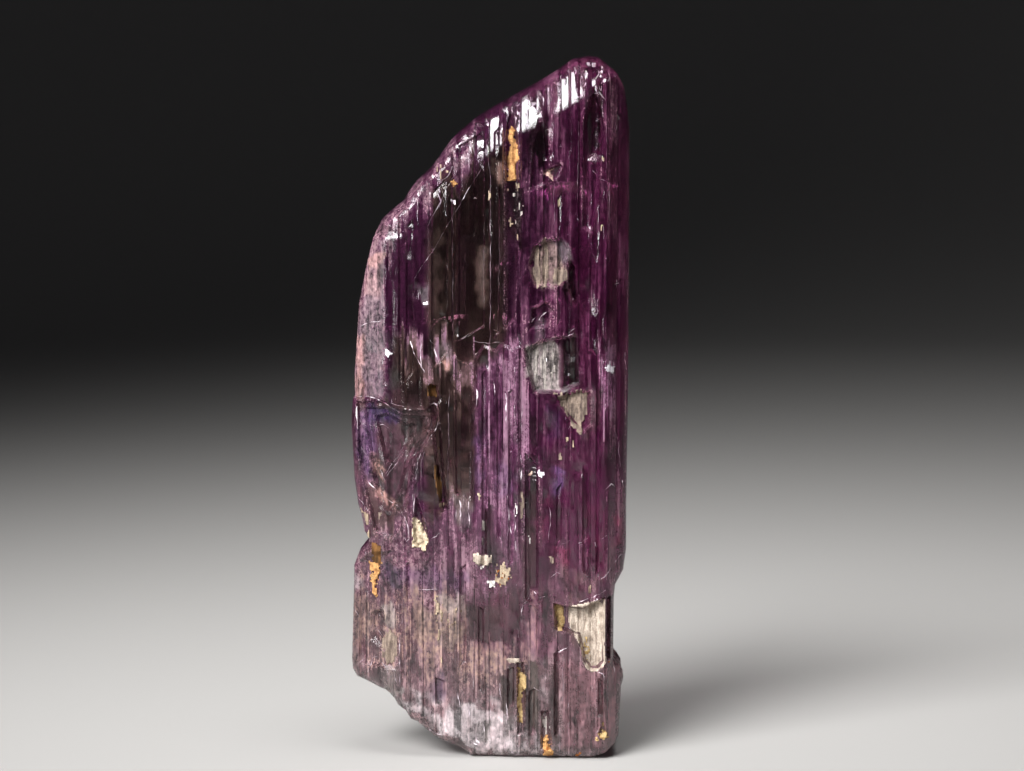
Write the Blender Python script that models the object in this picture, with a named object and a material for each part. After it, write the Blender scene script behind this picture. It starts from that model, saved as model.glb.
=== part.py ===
"""Kunzite crystal: one natural bladed crystal standing on its worn foot.

The crystal is drawn as a designer would cut it. Its outline is a closed loop in the
X-Z plane. Its front and back are faces whose depth along Y is worked out, point by
point, from the prism's flat planes, the rounding towards the outline, the upright
ribs, and the hollows and ledges that etching and breakage left in them. A wall along
the outline joins the two. All sizes below are in millimetres, and +Z is up.
"""

import bmesh
import bpy
import numpy as np
from mathutils.geometry import delaunay_2d_cdt

MM = 0.001

# Driving dimensions
HEIGHT = 75.0
HALF_WIDTH = 14.9
FLUTE_SIDE = 0.2  # how far a flute's side runs across the face
TOUCHING = 1e-4  # points nearer than this are one point

# How each stretch of the outline is finished: the width of its rounding across the
# face, how deep the front and the back fall there, and how deep its wall is grooved
SIDE_EDGE = (0.6, 0.6, 0.6, 0.5)
TIP_EDGE = (4.4, 4.2, 2.6, 0.0)
FOOT_EDGE = (1.7, 1.8, 1.6, 0.0)
SHARES_OF_ROUNDING = (0.08, 0.3, 0.62, 1.0)  # where the rounding gets its facets
WALL_RINGS = [(0.16, 0), (0.24, 1), (0.38, 0.1), (0.6, 0), (0.68, 0.8), (0.86, 0)]

# The outline, clockwise from the peak, seen from the front
RIGHT_SIDE = [
    (13.6, 73.1), (14.3, 71.7), (14.65, 69.8), (HALF_WIDTH, 67.0), (HALF_WIDTH, 48.9),
    (14.85, 38.2), (14.7, 27.4), (14.7, 22.4), (14.4, 20.3), (13.5, 18.8),
    (13.35, 17.4), (13.3, 10.7), (13.9, 10.1), (14.35, 9.4), (14.45, 8.5),
    (14.2, 7.6), (14.0, 3.6),
]
FOOT = [
    (14.0, 2.2), (13.6, 1.3), (12.7, 0.6), (11.2, 0.0), (-2.0, 0.0), (-2.9, 0.7),
    (-4.0, 1.2), (-5.5, 1.8), (-6.6, 2.6), (-7.5, 3.4), (-8.5, 3.9), (-9.1, 4.8),
    (-9.9, 5.4), (-10.3, 6.1), (-11.1, 6.9), (-13.0, 7.6), (-14.4, 8.0),
]
LEFT_SIDE = [
    (-14.8, 9.0), (-HALF_WIDTH, 10.1), (-14.65, 17.5), (-14.6, 20.3), (-14.0, 21.8),
    (-12.95, 23.0), (-12.9, 23.5), (-13.4, 24.2), (-13.7, 25.8), (-14.1, 27.1),
    (-14.5, 29.8), (-14.8, 36.0), (-14.65, 38.3), (-14.4, 38.9), (-14.4, 41.4),
    (-14.1, 45.4), (-13.9, 48.7), (-13.1, 52.6), (-12.3, 55.8),
]
TIP = [
    (-11.5, 57.6), (-10.7, 58.4), (-9.1, 59.7), (-8.4, 60.9), (-7.7, 61.8),
    (-5.95, 63.5), (-4.0, 66.2), (-2.9, 67.3), (-1.0, 68.8), (1.2, 70.1),
    (4.5, 71.9), (7.2, 73.5), (8.9, 74.7), (10.5, HEIGHT), (11.6, 74.9), (12.5, 74.2),
]

# The prism's flat planes, ridged along the crystal: depth along Y at these places
# across it
FRONT_PLANES = [
    (-15.0, -1.6), (-11.0, -4.6), (-9.6, -4.9), (-9.4, -4.7), (-6.5, -4.85),
    (-6.3, -5.15), (-3.95, -5.3), (-3.75, -5.0), (0.0, -5.25), (0.2, -5.5),
    (1.45, -5.6), (1.6, -5.35), (3.3, -5.5), (3.5, -5.8), (5.7, -5.9), (5.85, -5.65),
    (8.4, -5.85), (8.6, -6.15), (9.4, -6.2), (9.55, -6.0), (12.4, -6.4), (13.1, -5.7),
    (13.3, -5.35), (15.0, -3.5),
]
BACK_PLANES = [
    (-15.0, 1.6), (-12.4, 3.9), (-10.4, 4.2), (-10.2, 3.95), (-7.0, 4.3), (-6.8, 4.6),
    (-3.6, 4.9), (-3.4, 4.65), (-0.6, 4.95), (-0.4, 5.4), (2.2, 5.7), (2.4, 5.4),
    (5.2, 5.8), (5.4, 6.15), (8.7, 6.4), (10.2, 5.6), (10.4, 5.25), (12.6, 4.3),
    (12.8, 4.1), (15.0, 2.7),
]
TAPER = 0.014  # how much each face leans in for each mm above mid-height

# Upright flutes: left edge, right edge, lower end, upper end, how deep, and how much
# higher the right-hand corner is than the left at both ends
FRONT_FLUTES = [
    (-8.8, -7.9, 40.5, 57.0, 0.22, 1.1), (-6.1, -4.3, 41.8, 60.6, 0.3, 1.9),
    (-3.2, -0.4, 44.9, 65.6, 0.3, 1.6), (0.5, 1.2, 45.2, 67.0, 0.24, 0.7),
    (10.6, 11.4, 44.2, 54.6, 0.2, -0.8), (7.2, 7.8, 46.6, 60.2, 0.22, 0.6),
    (13.4, 13.9, 24.0, 69.0, 0.25, -0.6), (-3.6, -1.7, 28.6, 43.2, 0.45, -0.9),
    (-0.8, -0.2, 20.5, 41.6, 0.3, 0.5), (0.8, 1.3, 24.0, 43.0, 0.26, -0.4),
    (2.0, 2.6, 21.0, 39.6, 0.28, 0.5), (3.8, 5.3, 17.4, 33.2, 0.5, -1.3),
    (7.1, 7.8, 23.0, 29.2, 0.32, 0.9), (9.9, 10.6, 20.4, 31.6, 0.35, -0.7),
    (11.3, 11.7, 20.0, 44.0, 0.2, 0.3), (-8.9, -8.4, 10.5, 21.0, 0.25, 0.4),
    (-5.8, -4.7, 5.8, 8.9, 0.35, -0.5), (-3.2, -2.4, 9.8, 20.6, 0.3, 0.6),
    (-1.2, -0.5, 7.4, 16.6, 0.3, -0.4), (1.9, 2.7, 5.4, 9.8, 0.4, 0.3),
    (4.2, 4.9, 2.4, 7.4, 0.4, 0.3), (6.9, 7.5, 2.4, 11.6, 0.5, 0.4),
    (11.6, 12.2, 4.9, 9.0, 0.4, -0.3),
]
BACK_FLUTES = [
    (-9.9, -8.7, 27.0, 54.0, 0.3, 1.2), (-6.4, -4.4, 48.5, 60.0, 0.4, 1.8),
    (-5.1, -4.3, 9.0, 28.0, 0.3, -0.6), (-3.0, -1.3, 31.0, 64.0, 0.5, -1.4),
    (0.2, 1.7, 29.5, 52.0, 0.3, 1.0), (3.0, 3.9, 20.0, 67.5, 0.6, -0.9),
    (6.0, 7.4, 21.0, 48.5, 0.4, 1.1), (10.8, 11.6, 22.0, 69.5, 0.4, -0.8),
    (13.2, 13.7, 25.0, 60.0, 0.3, 0.5), (-9.2, -8.0, 24.0, 34.0, 0.4, 0.9),
    (-2.9, -1.9, 5.0, 24.0, 0.35, 0.7),
]

# Hollows, pits and ledges: how deep, how wide their sloping side is, the corners.
# A negative depth stands proud.
FRONT_HOLLOWS = {
    "ridged middle": (-0.34, 0.3, [(-1.5, 18.6), (-1.5, 43.4), (-0.6, 44.7),
                                   (0.6, 44.2), (1.4, 44.9), (2.6, 44.3), (3.4, 44.6),
                                   (3.4, 19.4), (0.9, 17.6)]),
    "clay arch": (0.75, 0.25, [(1.7, 46.2), (1.7, 66.4), (1.95, 68.3), (2.4, 69.3),
                               (2.85, 68.1), (3.2, 66.0), (3.2, 58.0), (2.8, 47.2)]),
    "middle arch": (0.55, 0.3, [(4.3, 60.8), (4.5, 66.0), (5.1, 67.9), (5.7, 68.3),
                                (6.3, 67.2), (6.5, 64.6), (6.2, 61.6)]),
    "right arch": (0.55, 0.35, [(9.8, 57.0), (9.9, 68.2), (10.4, 70.4), (11.1, 71.2),
                                (11.8, 70.2), (12.1, 67.0), (11.6, 60.0),
                                (10.9, 56.2)]),
    "pyramid pit": (0.8, 0.4, [(5.4, 62.8), (7.9, 63.9), (7.3, 61.7)]),
    "upper grey hollow": (0.7, 0.3, [(4.1, 53.0), (4.7, 55.1), (6.1, 55.8),
                                     (7.6, 56.0), (8.6, 54.8), (8.2, 53.5),
                                     (7.9, 50.8), (4.8, 50.7)]),
    "hooked pit": (1.2, 0.2, [(8.5, 53.4), (9.1, 53.0), (9.4, 49.1), (9.0, 48.5),
                              (8.3, 50.6)]),
    "tooth": (0.6, 0.3, [(4.2, 46.2), (4.5, 48.6), (6.0, 49.4), (7.0, 48.2),
                         (6.2, 46.4)]),
    "middle grey hollow": (0.9, 0.35, [(3.7, 44.2), (5.5, 45.2), (9.4, 45.8),
                                       (9.5, 40.4), (7.6, 39.4), (4.7, 39.5),
                                       (3.9, 42.5)]),
    "three-cornered hollow": (0.7, 0.35, [(6.9, 38.9), (9.5, 39.9), (10.8, 39.8),
                                          (10.8, 36.0), (10.0, 35.2), (8.9, 36.2)]),
    "shell-shaped break": (0.5, 0.25, [(-14.2, 38.3), (-11.1, 38.6), (-9.4, 37.7),
                                       (-6.8, 37.6), (-6.1, 38.3), (-5.5, 37.1),
                                       (-5.8, 35.5), (-7.9, 31.9), (-8.4, 29.5),
                                       (-9.2, 25.2), (-10.2, 23.7), (-12.2, 24.3),
                                       (-13.2, 28.0), (-14.1, 33.0)]),
    "its first ripple": (0.45, 0.7, [(-13.4, 37.7), (-11.0, 38.0), (-9.3, 37.1),
                                     (-6.7, 37.0), (-6.4, 35.6), (-8.5, 32.0),
                                     (-9.4, 28.6), (-10.6, 26.0), (-11.8, 27.0),
                                     (-12.6, 31.0)]),
    "its second ripple": (0.45, 0.8, [(-12.2, 36.8), (-10.8, 37.2), (-9.0, 36.2),
                                      (-7.6, 36.0), (-8.0, 34.6), (-10.0, 31.4),
                                      (-11.2, 32.0)]),
    "tear-shaped pit": (0.6, 0.3, [(-7.7, 28.6), (-6.7, 25.2), (-6.4, 23.6),
                                   (-6.8, 22.3), (-8.0, 23.1), (-8.2, 25.2)]),
    "amber groove": (1.0, 0.3, [(-6.5, 40.5), (-5.4, 40.3), (-4.4, 27.0),
                                (-5.2, 26.3), (-5.7, 31.0)]),
    "lower right ledge": (1.1, 0.3, [(6.8, 17.1), (7.9, 16.8), (10.0, 16.6),
                                     (12.4, 17.8), (12.4, 10.6), (11.7, 9.8),
                                     (10.9, 9.7), (10.1, 10.7), (9.5, 13.4),
                                     (7.0, 14.2)]),
    "right slit": (2.4, 0.15, [(12.5, 17.6), (13.0, 17.9), (13.0, 10.9),
                               (12.5, 10.9)]),
    "worn lower left": (0.5, 0.5, [(-14.1, 21.0), (-12.6, 22.2), (-10.4, 22.5),
                                   (-9.7, 17.4), (-10.0, 9.4), (-14.1, 9.8)]),
    "left chip": (0.6, 0.5, [(-12.8, 15.4), (-11.4, 16.2), (-10.4, 13.4),
                             (-11.2, 11.2), (-12.9, 12.4)]),
    "foot groove": (0.7, 0.3, [(2.9, 10.6), (3.8, 10.6), (4.0, 6.9), (3.7, 2.6),
                               (3.0, 2.6)]),
    "rusty groove": (0.6, 0.3, [(5.5, 5.3), (6.4, 5.3), (6.6, 3.1), (6.9, 1.0),
                                (5.5, 1.0)]),
    "foot pit": (0.6, 0.3, [(12.2, 4.6), (12.8, 2.6), (11.5, 2.5)]),
}
BACK_HOLLOWS = {
    "back ledge": (0.8, 0.4, [(-10.8, 46.0), (-2.6, 47.4), (-2.2, 33.5),
                              (-4.8, 29.2), (-8.9, 30.4)]),
    "back upper pit": (0.8, 0.35, [(5.1, 60.2), (8.9, 61.4), (9.6, 54.4),
                                   (6.2, 52.8)]),
    "back flake": (0.7, 0.9, [(-13.4, 20.6), (-9.6, 22.4), (-8.2, 16.0),
                              (-10.4, 10.8), (-13.6, 11.4)]),
    "back foot step": (0.8, 0.4, [(3.4, 15.8), (12.0, 18.4), (12.2, 5.2),
                                  (4.4, 4.4)]),
}

CRYSTAL_COLOUR = (0.36, 0.12, 0.42, 1.0)
CRYSTAL_ROUGHNESS = 0.08
CRYSTAL_IOR = 1.66


def outline_loop():
    """The outline's points, and how its edge is finished at each of them."""
    stretches = [
        (RIGHT_SIDE, SIDE_EDGE),
        (FOOT, FOOT_EDGE),
        (LEFT_SIDE, SIDE_EDGE),
        (TIP, TIP_EDGE),
    ]
    points = [point for stretch, _ in stretches for point in stretch]
    edges = [sizes for stretch, sizes in stretches for _ in stretch]
    return np.array(points), np.array(edges)


def inward_normals(loop):
    """A unit vector at each corner of a clockwise loop, pointing into it."""
    along = np.roll(loop, -1, axis=0) - loop
    along /= np.linalg.norm(along, axis=1)[:, None]
    mean = along + np.roll(along, 1, axis=0)
    mean /= np.linalg.norm(mean, axis=1)[:, None]
    return np.column_stack([mean[:, 1], -mean[:, 0]])


def clockwise(corners):
    """The corners of a hollow as an array that runs clockwise."""
    loop = np.array(corners, float)
    following = np.roll(loop, -1, axis=0)
    turning = (loop[:, 0] * following[:, 1] - loop[:, 1] * following[:, 0]).sum()
    return loop[::-1].copy() if turning > 0 else loop


def nearest_edge(loop, points):
    """For each point: its distance to the loop, the nearest edge, and where on it."""
    start = loop
    along = np.roll(loop, -1, axis=0) - start
    offset = points[:, None, :] - start[None, :, :]
    share = np.clip((offset * along).sum(-1) / (along**2).sum(-1), 0.0, 1.0)
    away = np.linalg.norm(offset - share[..., None] * along, axis=-1)
    edge = away.argmin(axis=1)
    row = np.arange(len(points))
    return away[row, edge], edge, share[row, edge]


def is_inside(loop, points):
    """Whether each point lies inside the loop, counting the edges to its right."""
    start, end = loop, np.roll(loop, -1, axis=0)
    x, z = points[:, :1], points[:, 1:]
    straddles = (start[:, 1] > z) != (end[:, 1] > z)
    rise = np.where(start[:, 1] == end[:, 1], 1.0, end[:, 1] - start[:, 1])
    crossing = start[:, 0] + (z - start[:, 1]) * (end[:, 0] - start[:, 0]) / rise
    return ((straddles & (x < crossing)).sum(axis=1) % 2).astype(bool)


def sunk(corners, depth, width, points):
    """How far each point is sunk by a hollow whose sides are so wide."""
    loop = clockwise(corners)
    away, _, _ = nearest_edge(loop, points)
    return depth * np.where(is_inside(loop, points), np.clip(away / width, 0, 1), 0)


def flute(left, right, lower, upper, slant):
    """The corners of an upright strip whose ends are cut at a slant."""
    return [
        (left, lower), (left, upper), (right, upper + slant), (right, lower + slant),
    ]


class Face:
    """One side of the crystal: its planes, flutes and hollows. sign is -1 in front."""

    def __init__(self, sign, planes, flutes, hollows, rounding_column):
        self.sign = sign
        self.planes = planes
        self.rounding_column = rounding_column
        self.cuts = [
            (flute(left, right, lower, upper, slant), depth, FLUTE_SIDE)
            for left, right, lower, upper, depth, slant in flutes
        ]
        self.cuts += [(loop, depth, width) for depth, width, loop in hollows.values()]

    def depth_at(self, points):
        """Y of the face at each point of the X-Z plane."""
        stations, depths = zip(*self.planes)
        plane = np.interp(points[:, 0], stations, depths)
        lean = TAPER * np.maximum(points[:, 1] - HEIGHT / 2, 0)
        fall = lean + self.rounded_off(points)
        for corners, depth, width in self.cuts:
            fall = fall + sunk(corners, depth, width, points)
        return plane - self.sign * fall

    def rounded_off(self, points):
        """A quarter round that carries the face over into the wall."""
        loop, finish = outline_loop()
        away, edge, share = nearest_edge(loop, points)
        ends = finish[edge], finish[(edge + 1) % len(loop)]
        sizes = ends[0] + share[:, None] * (ends[1] - ends[0])
        short = np.clip(1 - away / sizes[:, 0], 0.0, 1.0)
        return sizes[:, self.rounding_column] * (1 - np.sqrt(1 - short**2))

    def creases(self):
        """The loops and lines along which the face changes its slope."""
        loop, finish = outline_loop()
        inward = inward_normals(loop)
        loops = [loop + inward * finish[:, :1] * share for share in SHARES_OF_ROUNDING]
        for corners, _, width in self.cuts:
            outer = clockwise(corners)
            loops += [outer, outer + inward_normals(outer) * width * np.sqrt(2)]
        lines = [[(x, -1.0), (x, HEIGHT + 1)] for x, _ in self.planes[1:-1]]
        return loops, lines


def drawn_triangles(face):
    """The face drawn flat: its points in the X-Z plane, and triangles between them."""
    outline, _ = outline_loop()
    points, edges = [tuple(p) for p in outline], []
    loops, lines = face.creases()
    for loop in loops:
        first = len(points)
        points += [tuple(p) for p in loop]
        edges += [(first + i, first + (i + 1) % len(loop)) for i in range(len(loop))]
    for line in lines:
        edges.append((len(points), len(points) + 1))
        points += line
    whole = list(range(len(outline)))
    edges += [(i, (i + 1) % len(outline)) for i in whole]
    drawn = delaunay_2d_cdt(points, edges, [whole], 0, TOUCHING)
    flat = np.array([tuple(p) for p in drawn[0]])
    triangles = np.array([list(t) for t in drawn[2]])
    kept = is_inside(outline, flat[triangles].mean(axis=1))
    return flat, triangles[kept]


def rim_of(flat, triangles):
    """The points of a drawn face that lie on the outline, in order along it."""
    outline, _ = outline_loop()
    away, edge, share = nearest_edge(outline, flat)
    used = np.unique(triangles)
    rim = [i for i in used if away[i] < TOUCHING * 5]
    place = {i: (edge[i] + share[i]) % len(outline) for i in rim}
    return sorted(rim, key=place.get), place


def ringed_between(front_rim, back_rim):
    """Triangles from one rim to the next, taken forward along both in step."""
    (front, front_place), (back, back_place) = front_rim, back_rim
    triangles, i, j = [], 0, 0
    while i < len(front) or j < len(back):
        a, b = front[i % len(front)], back[j % len(back)]
        next_a, next_b = front[(i + 1) % len(front)], back[(j + 1) % len(back)]
        reach_a = front_place[next_a] if i + 1 < len(front) else np.inf
        reach_b = back_place[next_b] if j + 1 < len(back) else np.inf
        take_front = j >= len(back) or (i < len(front) and reach_a <= reach_b)
        if take_front:
            triangles.append((a, next_a, b))
            i += 1
        else:
            triangles.append((a, next_b, b))
            j += 1
    return triangles


def wall_rings(front, back):
    """Rings of points that run round the wall, grooved where its edge says so."""
    loop, finish = outline_loop()
    inward = inward_normals(loop)
    nearest, farthest = front.depth_at(loop), back.depth_at(loop)
    rings = []
    for share, groove in WALL_RINGS:
        flat = loop + inward * finish[:, 3:] * groove
        depth = nearest + share * (farthest - nearest)
        rings.append(np.insert(flat, 1, depth, axis=1))
    return rings


def crystal_mesh(front, back):
    """The closed crystal: both faces at their depths, and the wall between them."""
    front_flat, front_triangles = drawn_triangles(front)
    back_flat, back_triangles = drawn_triangles(back)
    shift = len(front_flat)
    rim, place = rim_of(back_flat, back_triangles)
    back_rim = [i + shift for i in rim], {i + shift: place[i] for i in rim}
    rims = [rim_of(front_flat, front_triangles)]

    points = [
        np.insert(front_flat, 1, front.depth_at(front_flat), axis=1),
        np.insert(back_flat, 1, back.depth_at(back_flat), axis=1),
    ]
    first = shift + len(back_flat)
    for ring in wall_rings(front, back):
        members = list(range(first, first + len(ring)))
        rims.append((members, {i: i - first for i in members}))
        points.append(ring)
        first += len(ring)
    rims.append(back_rim)

    triangles = [tuple(t) for t in front_triangles]
    triangles += [tuple(t[::-1] + shift) for t in back_triangles]
    for nearer, farther in zip(rims, rims[1:]):
        triangles += ringed_between(nearer, farther)
    points = np.vstack(points) * MM

    mesh = bpy.data.meshes.new("kunzite_crystal")
    mesh.from_pydata(points.tolist(), [], triangles)
    tidy = bmesh.new()
    tidy.from_mesh(mesh)
    loose = [v for v in tidy.verts if not v.link_faces]
    bmesh.ops.delete(tidy, geom=loose, context="VERTS")
    bmesh.ops.recalc_face_normals(tidy, faces=tidy.faces)
    tidy.to_mesh(mesh)
    tidy.free()
    return mesh


def crystal_material():
    """Clear violet spodumene."""
    material = bpy.data.materials.new("kunzite")
    material.use_nodes = True
    shader = material.node_tree.nodes["Principled BSDF"]
    shader.inputs["Base Color"].default_value = CRYSTAL_COLOUR
    shader.inputs["Roughness"].default_value = CRYSTAL_ROUGHNESS
    shader.inputs["IOR"].default_value = CRYSTAL_IOR
    shader.inputs["Metallic"].default_value = 0.0
    shader.inputs["Transmission Weight"].default_value = 1.0
    return material


def main():
    for old in list(bpy.data.objects):
        bpy.data.objects.remove(old)
    front = Face(-1, FRONT_PLANES, FRONT_FLUTES, FRONT_HOLLOWS, 1)
    back = Face(1, BACK_PLANES, BACK_FLUTES, BACK_HOLLOWS, 2)
    mesh = crystal_mesh(front, back)
    mesh.materials.append(crystal_material())
    crystal = bpy.data.objects.new("kunzite_crystal", mesh)
    bpy.context.scene.collection.objects.link(crystal)


main()
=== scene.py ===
import math
import random

import bmesh
import bpy
import numpy as np
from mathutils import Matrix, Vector, noise
from mathutils.geometry import delaunay_2d_cdt


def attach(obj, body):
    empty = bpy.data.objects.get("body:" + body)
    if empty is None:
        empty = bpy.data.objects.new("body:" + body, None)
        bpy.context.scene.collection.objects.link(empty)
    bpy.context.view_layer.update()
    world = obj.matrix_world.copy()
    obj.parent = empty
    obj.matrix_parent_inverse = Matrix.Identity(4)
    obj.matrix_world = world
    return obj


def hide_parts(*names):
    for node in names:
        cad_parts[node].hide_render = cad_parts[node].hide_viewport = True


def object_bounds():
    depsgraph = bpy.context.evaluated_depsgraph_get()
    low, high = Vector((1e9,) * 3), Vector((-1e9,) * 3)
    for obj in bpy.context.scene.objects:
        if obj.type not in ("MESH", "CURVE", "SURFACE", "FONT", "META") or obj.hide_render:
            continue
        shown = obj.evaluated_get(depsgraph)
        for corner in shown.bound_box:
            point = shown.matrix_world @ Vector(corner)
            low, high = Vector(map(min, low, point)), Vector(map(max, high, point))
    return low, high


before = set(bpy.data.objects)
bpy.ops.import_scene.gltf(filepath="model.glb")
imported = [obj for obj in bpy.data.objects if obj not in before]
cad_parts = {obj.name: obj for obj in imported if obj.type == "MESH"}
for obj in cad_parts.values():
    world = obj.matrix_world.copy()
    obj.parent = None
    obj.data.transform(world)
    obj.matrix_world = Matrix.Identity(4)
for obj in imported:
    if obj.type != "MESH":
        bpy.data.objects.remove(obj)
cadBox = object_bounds()
print("kunzite: frame loaded")

mm = 0.001
nodeName = "kunzite_crystal"

# the crystal in the 1024 x 771 photo, in pixels: its middle and the level of its foot
# it is 75 mm high and 695.8 pixels, and places read off the photo are good to 0.1 mm
photoPlaces = {"middle": 489.2, "foot": 754.0, "mmPerPixel": 0.10779, "digits": 1}


def inMillimetres(pixels):
    # corners read off the photo, written "x,y x,y", as places across and up the crystal
    places = []
    for pair in pixels.split():
        x, y = (float(value) for value in pair.split(","))
        away = (x - photoPlaces["middle"], photoPlaces["foot"] - y)
        # adding 0.0 leaves no negative zero
        place = tuple(round(gap * photoPlaces["mmPerPixel"], photoPlaces["digits"]) + 0.0 for gap in away)
        if place not in places[-1:]:
            places.append(place)
    return places


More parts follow.
